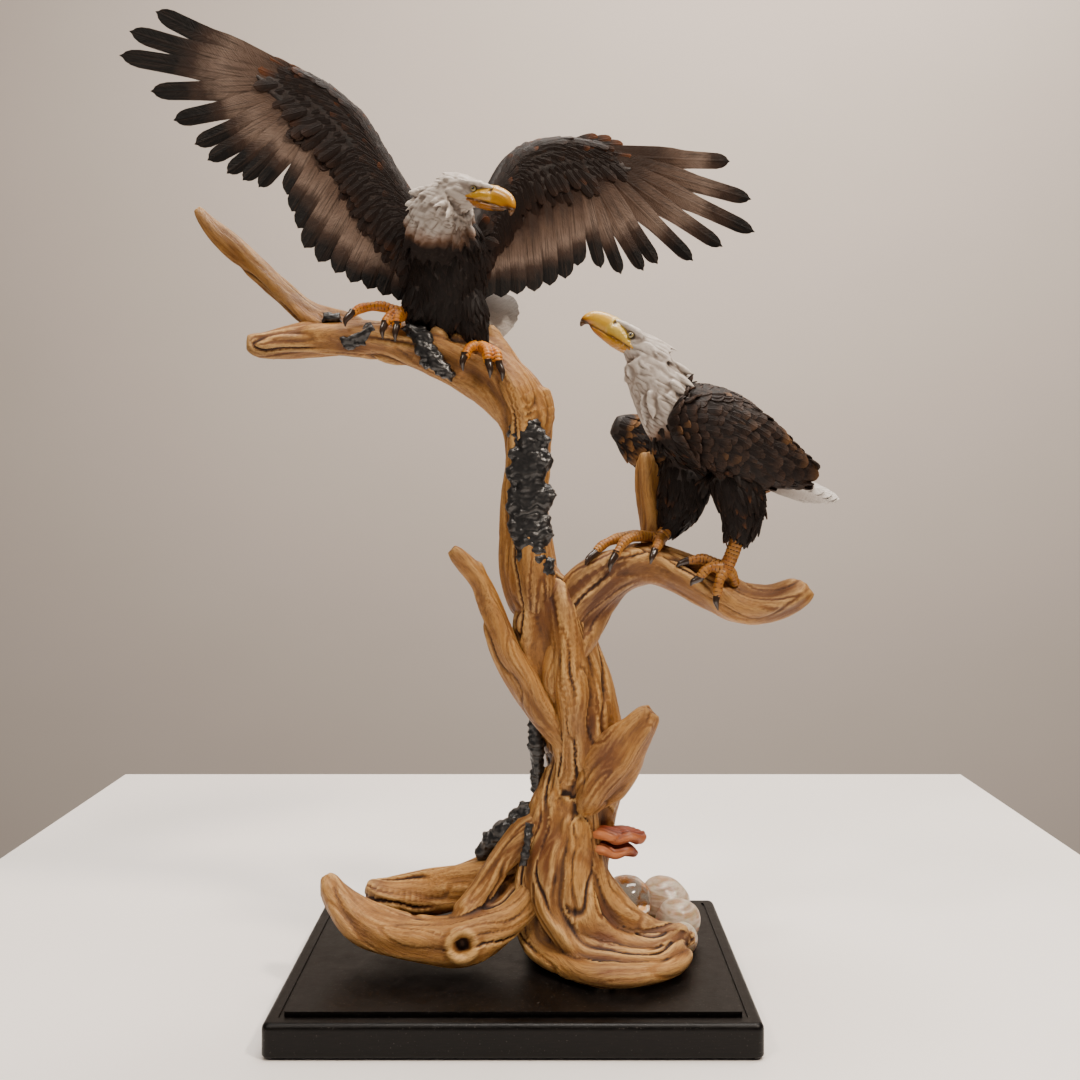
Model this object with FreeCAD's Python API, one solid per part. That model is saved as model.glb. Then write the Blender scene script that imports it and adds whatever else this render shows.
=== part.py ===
"""Painted resin statuette: two sea eagles on a driftwood tree, screwed to a moulded black plinth.

The frame: millimetres, +Z up, +X to the right, -Y towards the viewer. The origin is the centre of the
plinth's resting face, the underside of the felt. Nothing on the statuette moves: the castings are joined
by steel dowels and screws. Each piece is one node, written to parts/NODE.step.
"""

import FreeCAD
import Part
import math
import os

Vec = FreeCAD.Vector

# ---- driving dimensions -------------------------------------------------------------------------------

PLINTH_LENGTH = 300.0
PLINTH_DEPTH = 200.0
FELT_THICKNESS = 1.5
FELT_MARGIN = 3.0  # the felt stops this far inside the plinth's edge
SLAB_TOP = 17.5  # height where the plinth's upright edge ends
BEAD_TOP = 21.5  # height where the moulding meets the raised panel
PANEL_TOP = 24.0
PANEL_INSET = 11.5
PLINTH_CORNER = 5.0
FOOT_ROUNDING = 1.2

SCREW_PLACES = [(14, 2), (48, 8), (62, -49)]
SCREW_RADIUS = 2.0
SCREW_TIP_HEIGHT = 42.0
SCREW_HEAD_RADIUS = 4.0
SCREW_HEAD_HEIGHT = 3.0
WASHER_RADIUS = 6.0
WASHER_THICKNESS = 1.0
COUNTERBORE_RADIUS = 7.0
COUNTERBORE_TOP = 11.5
CLEARANCE_RADIUS = 2.4

DOWEL_RADIUS = 3.0  # joins the tree's castings
WING_PIN_RADIUS = 2.0

WING_THICKNESS = 5.0
BIRD_CENTRE_X = -47.0  # the upper bird's middle, where both wing planes meet
BIRD_CENTRE_Y = -5.0
LEFT_WING_SWEEP = 10.0  # degrees that each wing's plane is turned about Z
RIGHT_WING_SWEEP = 24.0
FEATHER_HALF_WIDTH = 5.0
FEATHER_FILL = 0.4  # share of the gap between two tips that half a feather may take
PRIMARY_NOTCHES = [0.62, 0.62, 0.66, 0.72, 0.8]  # how far out along the feathers their gaps start
SECONDARY_NOTCH = 0.88

# ---- the tree: stations are (x, y, z, radius) along each limb's middle ---------------------------------

JOINT_STATION = (10, 0, 283, 23)  # where the upper limb's casting stands on the trunk's

TRUNK = [
    (30, 5, 24, 34), (32, 5, 53, 30), (36, 4, 91, 26), (39, 4, 121, 26), (46, 3, 157, 29),
    (40, 0, 195, 29), (28, 0, 229, 27), (19, 0, 257, 26), JOINT_STATION,
]
UPPER_LIMB = [
    JOINT_STATION, (7, 0, 305, 21), (6, 0, 332, 18), (8, 0, 360, 17), (6, 0, 384, 20), (-2, 0, 404, 23),
    (-20, 0, 421, 22), (-44, 0, 432, 19), (-73, 0, 439, 17), (-104, -2, 443, 15), (-133, -4, 442, 14),
    (-154, -8, 439, 11), (-171, -12, 436, 9), (-183, -14, 438, 7),
]
UPPER_PRONG = [
    (-112, 0, 445, 11), (-143, 4, 460, 11), (-163, 8, 478, 10), (-183, 12, 496, 9), (-202, 15, 512, 8),
    (-217, 18, 526, 6), (-226, 20, 538, 3),
]
RIGHT_LIMB = [
    (24, 0, 223, 21), (38, -2, 250, 21), (53, -4, 272, 20), (72, -5, 286, 17), (91, -6, 289, 16),
    (112, -8, 283, 15), (132, -10, 271, 15), (152, -12, 262, 13), (171, -12, 261, 11), (186, -12, 268, 9),
    (197, -12, 275, 6),
]
PERCH_STUB = [(96, 8, 286, 11), (94, 12, 311, 9), (93, 15, 332, 9), (93, 17, 350, 8), (92, 18, 366, 7)]
LEFT_SPUR = [
    (19, -8, 193, 15), (4, -10, 216, 14), (-9, -12, 238, 12), (-18, -14, 262, 9), (-27, -16, 281, 7),
    (-37, -18, 294, 6), (-44, -20, 301, 4),
]
RIGHT_STUB = [
    (50, -10, 135, 18), (63, -16, 156, 17), (74, -20, 174, 13), (84, -22, 187, 9), (90, -22, 195, 5),
]
BACK_ROOT = [
    (16, 5, 92, 23), (-12, 10, 77, 19), (-40, 14, 63, 17), (-68, 18, 56, 15), (-93, 20, 55, 11),
    (-107, 22, 60, 6),
]
LOG_ROOT = [
    (8, -8, 71, 20), (-9, -18, 55, 17), (-33, -30, 46, 18), (-56, -29, 43, 17), (-81, -24, 42, 17),
    (-105, -14, 47, 15), (-121, -6, 59, 11), (-132, -2, 74, 6),
]
BRIDGE_ROOT = [(8, -10, 109, 14), (-11, -12, 88, 11), (-28, -16, 67, 10), (-43, -22, 50, 11)]
FRONT_ROOT = [
    (28, -14, 100, 23), (30, -31, 66, 21), (46, -46, 44, 17), (72, -52, 36, 14), (97, -45, 34, 12),
    (114, -28, 35, 9),
]
SIDE_ROOT = [(42, -8, 112, 21), (50, -16, 72, 19), (72, -21, 50, 16), (96, -20, 42, 12), (116, -16, 39, 8)]
KNOT_HOLE = (-33, -52, 45, 5.5)  # blind hole in the log root, and its radius
KNOT_HOLE_DEPTH = 18.0

# ---- the birds: stations are (x, y, z, half width, half depth) ------------------------------------------

UPPER_TORSO = [
    (-47, 6, 442, 7, 7), (-47, 2, 455, 20, 16), (-47, -4, 473, 26, 20), (-47, -10, 492, 27, 22),
    (-48, -17, 511, 25, 20), (-49, -18, 530, 14, 12),
]
UPPER_RIGHT_THIGH = [(-38, -8, 474, 15, 14), (-31, -9, 455, 12, 12), (-26, -9, 437, 7, 7)]
UPPER_LEFT_THIGH = [(-58, -8, 478, 15, 14), (-66, -10, 464, 11, 11), (-71, -11, 455, 6, 6)]
UPPER_HEAD = [
    (-50, -24, 498, 18, 14), (-49, -34, 511, 21, 19), (-44, -41, 524, 20, 18), (-34, -46, 530, 15, 15),
    (-23, -50, 529, 12, 12), (-15, -52, 526, 8, 8),
]
UPPER_BEAK = [
    (-15, -52, 526, 7.5, 6.5), (-9, -54, 524, 7, 5.5), (-4, -55, 519, 4.5, 4), (-2, -55, 512, 1.5, 1.5),
]
UPPER_TAIL = [(-44, 14, 470, 10, 4), (-26, 28, 461, 18, 4), (-6, 38, 452, 9, 3)]

LOWER_TORSO = [
    (196, -8, 347, 5, 5), (178, -8, 356, 17, 16), (157, -8, 367, 26, 24), (134, -8, 378, 30, 28),
    (113, -8, 386, 27, 26), (101, -9, 393, 21, 21),
]
LOWER_NEAR_THIGH = [(142, -24, 354, 19, 16), (149, -27, 328, 16, 14), (147, -28, 308, 11, 10)]
LOWER_FAR_THIGH = [(120, 6, 356, 21, 16), (113, 5, 331, 17, 15), (105, 4, 312, 10, 10)]
LOWER_HEAD = [
    (112, -10, 378, 22, 20), (100, -12, 398, 21, 19), (91, -12, 416, 17, 16), (83, -12, 431, 14, 13),
    (76, -12, 441, 11, 11), (69, -12, 446, 8, 8),
]
LOWER_BEAK = [
    (69, -12, 446, 7.5, 6), (60, -12, 452, 7, 5.5), (52, -12, 456, 4.5, 4), (47, -12, 453, 1.5, 1.5),
]
LOWER_NEAR_WING = [
    (101, -28, 384, 14, 6), (119, -37, 383, 23, 9), (142, -39, 372, 26, 9), (166, -33, 360, 21, 8),
    (187, -23, 352, 12, 6), (201, -14, 349, 4, 3),
]
LOWER_FAR_WING = [
    (67, 32, 386, 8, 6), (79, 33, 381, 15, 8), (94, 30, 370, 19, 9), (116, 24, 362, 21, 8),
    (156, 16, 357, 20, 7), (192, 6, 352, 9, 5),
]
LOWER_TAIL = [(170, -8, 350, 5, 16), (189, -8, 340, 4, 15), (212, -8, 332, 2, 11)]

# ---- shape helpers -------------------------------------------------------------------------------------

SECTION_POINTS = 8


def section(centre, tangent, half_width, half_depth):
    """A smooth closed curve square to the limb: half_width lies side to side, half_depth front to back."""
    reference = Vec(0, 0, 1) if abs(tangent.y) > 0.92 else Vec(0, 1, 0)
    depth = (reference - tangent * reference.dot(tangent)).normalize()
    width = tangent.cross(depth)
    points = []
    for k in range(SECTION_POINTS):
        angle = 2 * math.pi * k / SECTION_POINTS
        offset = width * (half_width * math.cos(angle)) + depth * (half_depth * math.sin(angle))
        points.append(centre + offset)
    curve = Part.BSplineCurve()
    curve.interpolate(Points=points, PeriodicFlag=True)
    return Part.Wire([curve.toShape()])


def limb(stations):
    """A solid lofted through sections square to the line of its stations."""
    centres = [Vec(*s[:3]) for s in stations]
    wires = []
    for i, station in enumerate(stations):
        before = centres[max(i - 1, 0)]
        after = centres[min(i + 1, len(centres) - 1)]
        half_width = station[3]
        half_depth = station[4] if len(station) > 4 else half_width
        wires.append(section(centres[i], (after - before).normalize(), half_width, half_depth))
    return Part.makeLoft(wires, True, False)


def rod(start, end, radius):
    """A straight round bar between two points."""
    start = Vec(*start)
    span = Vec(*end) - start
    return Part.makeCylinder(radius, span.Length, start, span)


def ball(centre, radius, squash=(1, 1, 1)):
    """A sphere, squashed along the axes into a pebble."""
    sphere = Part.makeSphere(radius)
    matrix = FreeCAD.Matrix()
    matrix.scale(Vec(*squash))
    shape = sphere if squash == (1, 1, 1) else sphere.transformGeometry(matrix)
    shape.translate(Vec(*centre))
    return shape


def biggest(shape):
    """The largest solid of a cut shape, without crumbs."""
    return max(shape.Solids, key=lambda s: s.Volume)


def seat(shape, *others):
    """Cuts a piece back so that it meets its neighbours face to face."""
    for other in others:
        shape = shape.cut(other)
    return biggest(shape)


def joined(*shapes):
    """One casting from overlapping lumps."""
    whole = shapes[0]
    for shape in shapes[1:]:
        whole = whole.fuse(shape)
    return biggest(whole.removeSplitter())


# ---- the plinth ----------------------------------------------------------------------------------------


def slab(length, depth, bottom, top, corner):
    """A block centred on the origin with rounded upright edges."""
    block = Part.makeBox(length, depth, top - bottom, Vec(-length / 2, -depth / 2, bottom))
    uprights = [e for e in block.Edges if abs(e.tangentAt(e.FirstParameter).z) > 0.99]
    return block.makeFillet(corner, uprights)


def inset_slab(inset, top, corner):
    """A slab this far inside the plinth's edge, standing on the floor of its groove."""
    return slab(PLINTH_LENGTH - 2 * inset, PLINTH_DEPTH - 2 * inset, BEAD_TOP - 1.0, top, corner)


def edges_at(shape, height):
    """The level edges at one height."""
    return [e for e in shape.Edges if all(abs(v.Z - height) < 1e-6 for v in e.Vertexes)]


def make_plinth():
    """Slab with a rounded bead all round and a thin raised panel, drilled from below for the screws."""
    lower = slab(PLINTH_LENGTH, PLINTH_DEPTH, FELT_THICKNESS, BEAD_TOP, PLINTH_CORNER)
    lower = lower.makeFillet(BEAD_TOP - SLAB_TOP - 0.1, edges_at(lower, BEAD_TOP))
    lower = lower.makeFillet(FOOT_ROUNDING, edges_at(lower, FELT_THICKNESS))
    groove_inset = PANEL_INSET - 3.0
    groove = inset_slab(groove_inset, BEAD_TOP, 2.0)
    panel = inset_slab(PANEL_INSET, PANEL_TOP, 1.5)
    plinth = lower.cut(groove).fuse(panel)
    for x, y in SCREW_PLACES:
        plinth = plinth.cut(rod((x, y, FELT_THICKNESS), (x, y, COUNTERBORE_TOP), COUNTERBORE_RADIUS))
        plinth = plinth.cut(rod((x, y, COUNTERBORE_TOP), (x, y, PANEL_TOP), CLEARANCE_RADIUS))
    return biggest(plinth.removeSplitter())


def make_felt():
    return slab(
        PLINTH_LENGTH - 2 * FELT_MARGIN, PLINTH_DEPTH - 2 * FELT_MARGIN, 0, FELT_THICKNESS, PLINTH_CORNER
    )


def make_screw(x, y):
    """A pan head screw, head down, its shank running up into the casting."""
    head_top = COUNTERBORE_TOP - WASHER_THICKNESS
    head = rod((x, y, head_top - SCREW_HEAD_HEIGHT), (x, y, head_top), SCREW_HEAD_RADIUS)
    shank = rod((x, y, head_top), (x, y, SCREW_TIP_HEIGHT), SCREW_RADIUS)
    slot_corner = Vec(x - SCREW_HEAD_RADIUS, y - 0.5, head_top - SCREW_HEAD_HEIGHT)
    slot = Part.makeBox(2 * SCREW_HEAD_RADIUS, 1.0, 1.2, slot_corner)
    return biggest(head.fuse(shank).cut(slot).removeSplitter())


def make_washer(x, y):
    bottom = COUNTERBORE_TOP - WASHER_THICKNESS
    disc = rod((x, y, bottom), (x, y, COUNTERBORE_TOP), WASHER_RADIUS)
    return disc.cut(rod((x, y, bottom), (x, y, COUNTERBORE_TOP), CLEARANCE_RADIUS))


# ---- the tree ------------------------------------------------------------------------------------------

TRUNK_DOWEL = ((12, 0, 256), (8, 0, 308))
LIMB_DOWEL = ((30, -1, 236), (62, -4, 276))


def above_panel(shape):
    """Flattens a root where it stands on the plinth's panel."""
    size = 400
    return shape.cut(Part.makeBox(size, size, size, Vec(-size / 2, -size / 2, PANEL_TOP - size)))


def make_trunk():
    """The trunk with the roots it stands on: one casting."""
    trunk = limb(TRUNK)
    for stations in (BACK_ROOT, FRONT_ROOT, SIDE_ROOT):
        trunk = trunk.fuse(limb(stations))
    return biggest(above_panel(trunk))


def make_log_root(trunk):
    """The broken log at the front left, with its knot hole and the strand that climbs the trunk."""
    log = seat(above_panel(limb(LOG_ROOT).fuse(limb(BRIDGE_ROOT))), trunk)
    x, y, z, radius = KNOT_HOLE
    return biggest(log.cut(rod((x, y, z), (x, y + KNOT_HOLE_DEPTH, z), radius)))


def screw_holes():
    return [rod((x, y, PANEL_TOP), (x, y, SCREW_TIP_HEIGHT), SCREW_RADIUS) for x, y in SCREW_PLACES]


BARK_STATIONS = {
    "bark_upper_limb": [
        (4, -12, 394, 9, 8), (8, -13, 358, 15, 11), (10, -14, 320, 15, 11), (15, -16, 290, 10, 9),
    ],
    "bark_trunk_side": [(13, -2, 196, 6), (13, -2, 174, 7), (14, 0, 150, 7), (15, 2, 128, 6)],
    "bark_back_root": [(13, -6, 124, 9), (0, -1, 108, 12), (-14, 4, 98, 11), (-28, 8, 86, 6)],
    "bark_foot_strip": [(9, -20, 118, 4), (7, -25, 104, 4), (5, -27, 90, 4)],
    "bark_limb_left": [(-94, -12, 449, 6), (-105, -14, 443, 8), (-119, -15, 437, 6)],
    "bark_limb_top": [(-118, -8, 456, 5), (-133, -8, 456, 5)],
    "bark_limb_middle": [
        (-74, -15, 450, 6), (-65, -17, 442, 8), (-59, -18, 430, 9), (-50, -19, 421, 7), (-41, -20, 414, 4),
    ],
}


def make_shelf(centre, radius, height):
    """A half-round bracket of fungus, thin at its rim."""
    x, y, z = centre
    return ball((x, y, z), radius, (1.0, 0.8, height / radius))


# ---- the birds -----------------------------------------------------------------------------------------


def wing_point(x, z, sweep):
    """A point of a wing's plane, which stands upright and is turned about Z by the sweep."""
    return Vec(x, BIRD_CENTRE_Y + math.tan(math.radians(sweep)) * (x - BIRD_CENTRE_X), z)


def feather_edge(roots, tips, notch_shares):
    """The trailing edge of a wing: a rounded tip per feather as (before, tip, after), then a notch."""
    corners = []
    for i, (root, tip) in enumerate(zip(roots, tips)):
        along = (tip - root).normalize()
        across = Vec(along.z, 0, -along.x)
        gaps = [abs((tip - tips[k]).dot(across)) for k in (i - 1, i + 1) if 0 <= k < len(tips)]
        half_width = min(FEATHER_HALF_WIDTH, FEATHER_FILL * min(gaps))
        if across.dot(tips[-1] - tips[0]) > 0:
            across = across * -1
        shoulder = tip - along * (1.5 * half_width)
        corners.append((shoulder + across * half_width, tip, shoulder - across * half_width))
        if i + 1 < len(tips):
            share = notch_shares[i]
            here = root + (tip - root) * share
            there = roots[i + 1] + (tips[i + 1] - roots[i + 1]) * share
            corners.append((here + there) * 0.5)
    return corners


def spread(start, end, count):
    """Evenly spaced points of the wing's plane from start to end."""
    start, end = Vec(start[0], 0, start[1]), Vec(end[0], 0, end[1])
    return [start + (end - start) * (k / (count - 1)) for k in range(count)]


def make_wing(sweep, leading, hand, arm, primaries, secondaries):
    """A thin blade with a fingered trailing edge, standing in its swept plane."""
    tips = [Vec(x, 0, z) for x, z in primaries + secondaries]
    roots = spread(*hand, len(primaries)) + spread(*arm, len(secondaries))
    notches = PRIMARY_NOTCHES + [SECONDARY_NOTCH] * (len(tips) - len(PRIMARY_NOTCHES))
    line = [Vec(x, 0, z) for x, z in leading]
    edges = [Part.makeLine(a, b) for a, b in zip(line, line[1:])]
    last = line[-1]
    for corner in feather_edge(roots, tips, notches):
        if isinstance(corner, tuple):
            before, tip, after = corner
            edges += [Part.makeLine(last, before), Part.Arc(before, tip, after).toShape()]
            last = after
        else:
            edges.append(Part.makeLine(last, corner))
            last = corner
    edges.append(Part.makeLine(last, line[0]))
    blade = Part.Face(Part.Wire(edges)).extrude(Vec(0, WING_THICKNESS, 0))
    blade.translate(Vec(-BIRD_CENTRE_X, -WING_THICKNESS / 2, 0))
    turn = math.radians(sweep)
    stretch = FreeCAD.Matrix()
    stretch.scale(Vec(1 / math.cos(turn), 1, 1))
    blade = blade.transformGeometry(stretch)
    blade.rotate(Vec(0, 0, 0), Vec(0, 0, 1), sweep)
    blade.translate(Vec(BIRD_CENTRE_X, BIRD_CENTRE_Y, 0))
    return biggest(blade)


LEFT_WING = {
    "sweep": LEFT_WING_SWEEP,
    "leading": [(-66, 520), (-74, 536), (-89, 558), (-102, 584), (-118, 603), (-137, 618), (-163, 627)],
    "hand": ((-160, 622), (-134, 596)),
    "arm": ((-132, 590), (-72, 520)),
    "primaries": [
        (-234, 650), (-250, 636), (-256, 620), (-237, 598), (-223, 580), (-210, 565), (-202, 555),
        (-190, 547), (-180, 543), (-170, 539),
    ],
    "secondaries": [
        (-152, 535), (-149, 524), (-145, 513), (-141, 500), (-132, 491), (-121, 484), (-111, 478),
        (-100, 474), (-90, 470), (-80, 467),
    ],
}
RIGHT_WING = {
    "sweep": RIGHT_WING_SWEEP,
    "leading": [(-26, 522), (-17, 544), (-5, 568), (9, 584), (30, 593), (59, 597), (74, 592)],
    "hand": ((72, 588), (46, 570)),
    "arm": ((42, 566), (-20, 520)),
    "primaries": [
        (161, 591), (179, 564), (182, 539), (155, 525), (131, 512), (103, 507), (92, 501), (75, 497),
        (60, 500),
    ],
    "secondaries": [(43, 500), (34, 490), (23, 484), (12, 479), (0, 476), (-11, 473), (-21, 472)],
}

LEFT_WING_BONE = [
    (-66, 520, 9), (-78, 540, 8), (-92, 562, 7), (-106, 586, 6), (-124, 602, 5), (-146, 614, 4),
]
RIGHT_WING_BONE = [(-26, 522, 9), (-12, 546, 8), (2, 568, 7), (16, 580, 6), (38, 587, 5), (62, 588, 4)]

WING_PINS = {
    "upper_bird_left_wing_pin": ((-58, -8, 517), (-78, -10, 533)),
    "upper_bird_right_wing_pin": ((-38, -4, 517), (-18, 8, 533)),
}


def bone(stations, sweep):
    """The rounded thickening along a wing's leading edge, from (x, z, radius) stations in its plane."""
    return limb([(*wing_point(x, z, sweep), radius) for x, z, radius in stations])


def toe(points, radius):
    """A toe lofted along three or four points, thinner at its end."""
    count = len(points)
    return limb([(*p, radius * (1 - 0.3 * i / (count - 1))) for i, p in enumerate(points)])


def talon(base, tip, radius):
    """A claw: a cone that ends in a small round point."""
    span = Vec(*tip) - Vec(*base)
    return Part.makeCone(radius, 0.35, span.Length, Vec(*base), span)


# Each foot: its shank stations, its toes as point lists, and its claws as (base, tip).
FEET = {
    "upper_bird_left_foot": {
        "shank": [(-70, -11, 459, 5.0), (-77, -12, 455, 5.0)],
        "toes": [
            [(-77, -12, 455), (-92, -12, 461), (-104, -15, 461), (-111, -18, 456)],
            [(-77, -13, 455), (-84, -20, 455), (-87, -24, 448)],
            [(-77, -13, 455), (-79, -20, 453), (-79, -24, 447)],
        ],
        "claws": [
            ((-110, -18, 457), (-114, -20, 448)), ((-87, -24, 448), (-88, -24, 439)),
            ((-79, -24, 447), (-80, -24, 437)),
        ],
    },
    "upper_bird_right_foot": {
        "shank": [(-27, -10, 441, 5.0), (-25, -13, 434, 5.0)],
        "toes": [
            [(-25, -13, 434), (-31, -20, 432), (-34, -24, 426)],
            [(-25, -13, 434), (-20, -22, 430), (-18, -27, 421)],
            [(-25, -13, 434), (-14, -20, 430), (-11, -25, 420)],
        ],
        "claws": [
            ((-34, -24, 427), (-35, -24, 418)), ((-18, -27, 422), (-17, -27, 413)),
            ((-11, -25, 421), (-9, -25, 411)),
        ],
    },
    "lower_bird_near_foot": {
        "shank": [(146, -28, 309, 5.0), (143, -27, 298, 4.6), (139, -26, 286, 5.0)],
        "toes": [
            [(139, -26, 286), (128, -29, 287), (120, -30, 280)],
            [(139, -26, 286), (134, -31, 279), (132, -31, 268)],
            [(139, -26, 286), (126, -22, 292), (114, -21, 291)],
            [(139, -26, 286), (144, -22, 282), (147, -18, 275)],
        ],
        "claws": [
            ((121, -30, 281), (115, -30, 276)), ((132, -31, 269), (133, -31, 260)),
            ((115, -21, 292), (107, -22, 288)),
        ],
    },
    "lower_bird_far_foot": {
        "shank": [(105, 2, 313, 5.0), (97, -2, 305, 5.2)],
        "toes": [
            [(97, -2, 305), (84, -10, 308), (73, -18, 305), (66, -25, 295)],
            [(97, -2, 305), (78, -4, 308), (62, -11, 304), (53, -17, 297)],
            [(97, -2, 305), (96, -16, 303), (92, -22, 297)],
        ],
        "claws": [
            ((66, -25, 296), (62, -27, 284)), ((53, -17, 297), (46, -23, 289)),
            ((92, -22, 298), (89, -25, 290)),
        ],
    },
}

EYES = {
    "upper_bird_eyes": [(-24.5, -62.5, 530), (-29, -34, 537)],
    "lower_bird_eyes": [(78, -24, 441), (78, 0, 441)],
}
EYE_RADIUS = 2.3


# ---- assembly ------------------------------------------------------------------------------------------


def build():
    """Every piece as {node name: shape}, seated against the pieces made before it."""
    nodes = {}
    nodes["base_felt"] = make_felt()
    nodes["plinth"] = make_plinth()
    nodes["base_screws"] = Part.makeCompound([make_screw(x, y) for x, y in SCREW_PLACES])
    nodes["base_washers"] = Part.makeCompound([make_washer(x, y) for x, y in SCREW_PLACES])

    trunk_dowel = rod(*TRUNK_DOWEL, DOWEL_RADIUS)
    limb_dowel = rod(*LIMB_DOWEL, DOWEL_RADIUS)
    trunk = make_trunk()
    log = make_log_root(trunk)
    upper = seat(limb(UPPER_LIMB), trunk)
    prong = seat(limb(UPPER_PRONG), upper)
    right = seat(limb(RIGHT_LIMB), trunk, upper)
    perch = seat(limb(PERCH_STUB), right)
    spur = seat(limb(LEFT_SPUR), trunk)
    stub = seat(limb(RIGHT_STUB), trunk)
    nodes["driftwood_trunk"] = seat(trunk, trunk_dowel, limb_dowel, *screw_holes())
    nodes["driftwood_log_root"] = log
    nodes["driftwood_upper_limb"] = seat(upper, trunk_dowel)
    nodes["driftwood_upper_prong"] = prong
    nodes["driftwood_right_limb"] = seat(right, limb_dowel)
    nodes["driftwood_perch_stub"] = perch
    nodes["driftwood_left_spur"] = spur
    nodes["driftwood_right_stub"] = stub
    nodes["trunk_dowel"] = trunk_dowel
    nodes["right_limb_dowel"] = limb_dowel
    tree = [shape for name, shape in nodes.items() if name.startswith("driftwood")]

    for name, stations in BARK_STATIONS.items():
        nodes[name] = seat(limb(stations), *tree)

    nodes["fungus_upper"] = seat(make_shelf((69, -9, 106), 18, 5), nodes["driftwood_trunk"])
    lower_shelf = make_shelf((65, -11, 97), 16, 5)
    nodes["fungus_lower"] = seat(lower_shelf, nodes["driftwood_trunk"], nodes["fungus_upper"])

    clear = seat(above_panel(ball((78, 36, 43), 19)), nodes["driftwood_trunk"])
    back = seat(above_panel(ball((106, 46, 39), 19)), clear)
    right_stone = seat(above_panel(ball((112, 17, 37), 16)), nodes["driftwood_trunk"], clear, back)
    front = seat(above_panel(ball((113, -1, 32), 11)), nodes["driftwood_trunk"], clear, right_stone)
    nodes["pebble_clear"] = clear
    nodes["pebble_back"] = back
    nodes["pebble_right"] = right_stone
    nodes["pebble_front"] = front

    upper_torso = joined(limb(UPPER_TORSO), limb(UPPER_RIGHT_THIGH), limb(UPPER_LEFT_THIGH))
    lower_torso = joined(limb(LOWER_TORSO), limb(LOWER_NEAR_THIGH), limb(LOWER_FAR_THIGH))
    upper_torso = seat(upper_torso, nodes["driftwood_upper_limb"])
    lower_torso = seat(lower_torso, nodes["driftwood_right_limb"])
    birds = {"upper_bird": upper_torso, "lower_bird": lower_torso}
    heads = {"upper_bird": UPPER_HEAD, "lower_bird": LOWER_HEAD}
    beaks = {"upper_bird": UPPER_BEAK, "lower_bird": LOWER_BEAK}
    tails = {"upper_bird": UPPER_TAIL, "lower_bird": LOWER_TAIL}
    for bird, torso in birds.items():
        eyes = [ball(place, EYE_RADIUS) for place in EYES[bird + "_eyes"]]
        nodes[bird + "_torso"] = torso
        nodes[bird + "_eyes"] = Part.makeCompound(eyes)
        head = seat(limb(heads[bird]), torso, *eyes)
        nodes[bird + "_head"] = head
        nodes[bird + "_beak"] = seat(limb(beaks[bird]), head, *eyes)
        nodes[bird + "_tail"] = seat(limb(tails[bird]), torso, *tree)

    left_bone = bone(LEFT_WING_BONE, LEFT_WING_SWEEP)
    right_bone = bone(RIGHT_WING_BONE, RIGHT_WING_SWEEP)
    left_wing = make_wing(**LEFT_WING).fuse(left_bone)
    right_wing = make_wing(**RIGHT_WING).fuse(right_bone)
    pins = {name: rod(*ends, WING_PIN_RADIUS) for name, ends in WING_PINS.items()}
    head = nodes["upper_bird_head"]
    left_pin, right_pin = pins["upper_bird_left_wing_pin"], pins["upper_bird_right_wing_pin"]
    beside_wings = [upper_torso, head, *tree, nodes["upper_bird_tail"]]
    nodes["upper_bird_left_wing"] = seat(left_wing, *beside_wings, left_pin)
    nodes["upper_bird_right_wing"] = seat(right_wing, *beside_wings, right_pin)
    nodes["upper_bird_torso"] = seat(upper_torso, left_pin, right_pin)
    nodes.update(pins)

    near_wing = seat(limb(LOWER_NEAR_WING), lower_torso, nodes["lower_bird_head"])
    beside_far_wing = [lower_torso, nodes["lower_bird_head"], nodes["driftwood_right_limb"]]
    far_wing = seat(limb(LOWER_FAR_WING), *beside_far_wing)
    nodes["lower_bird_near_wing"] = seat(near_wing, nodes["lower_bird_tail"])
    nodes["lower_bird_far_wing"] = seat(far_wing, nodes["lower_bird_tail"])

    for name, foot in FEET.items():
        lumps = [limb(foot["shank"])] + [toe(points, 3.4) for points in foot["toes"]]
        foot_solid = lumps[0]
        for lump in lumps[1:]:
            foot_solid = foot_solid.fuse(lump)
        torso = nodes["upper_bird_torso"] if name.startswith("upper") else nodes["lower_bird_torso"]
        foot_solid = seat(foot_solid, *tree, torso)
        claws = [talon(base, tip, 2.4) for base, tip in foot["claws"]]
        claws = [seat(claw, foot_solid, *tree) for claw in claws]
        nodes[name] = foot_solid
        nodes[name.replace("_foot", "_claws")] = Part.makeCompound(claws)
    return nodes


def write(nodes):
    os.makedirs("parts", exist_ok=True)
    for name, shape in nodes.items():
        shape.exportStep("parts/" + name + ".step")
        volume = shape.Volume / 1000
        print(f"{name}: {len(shape.Solids)} solid(s), {volume:.2f} cm3, valid {shape.isValid()}")


write(build())
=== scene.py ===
# %% [markdown]
# # Two sea eagles on driftwood: a painted resin statuette
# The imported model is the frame: every piece of it already sits where it belongs, in metres. This lesson
# keeps that frame, puts carved and painted pieces over it, and leaves the plain plinth as it is with a
# better finish. Everything stands on one body, "root", because nothing on a statuette moves.

# %% Load the frame
import math

import bpy
import numpy as np
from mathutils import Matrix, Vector
from mathutils.bvhtree import BVHTree


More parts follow.
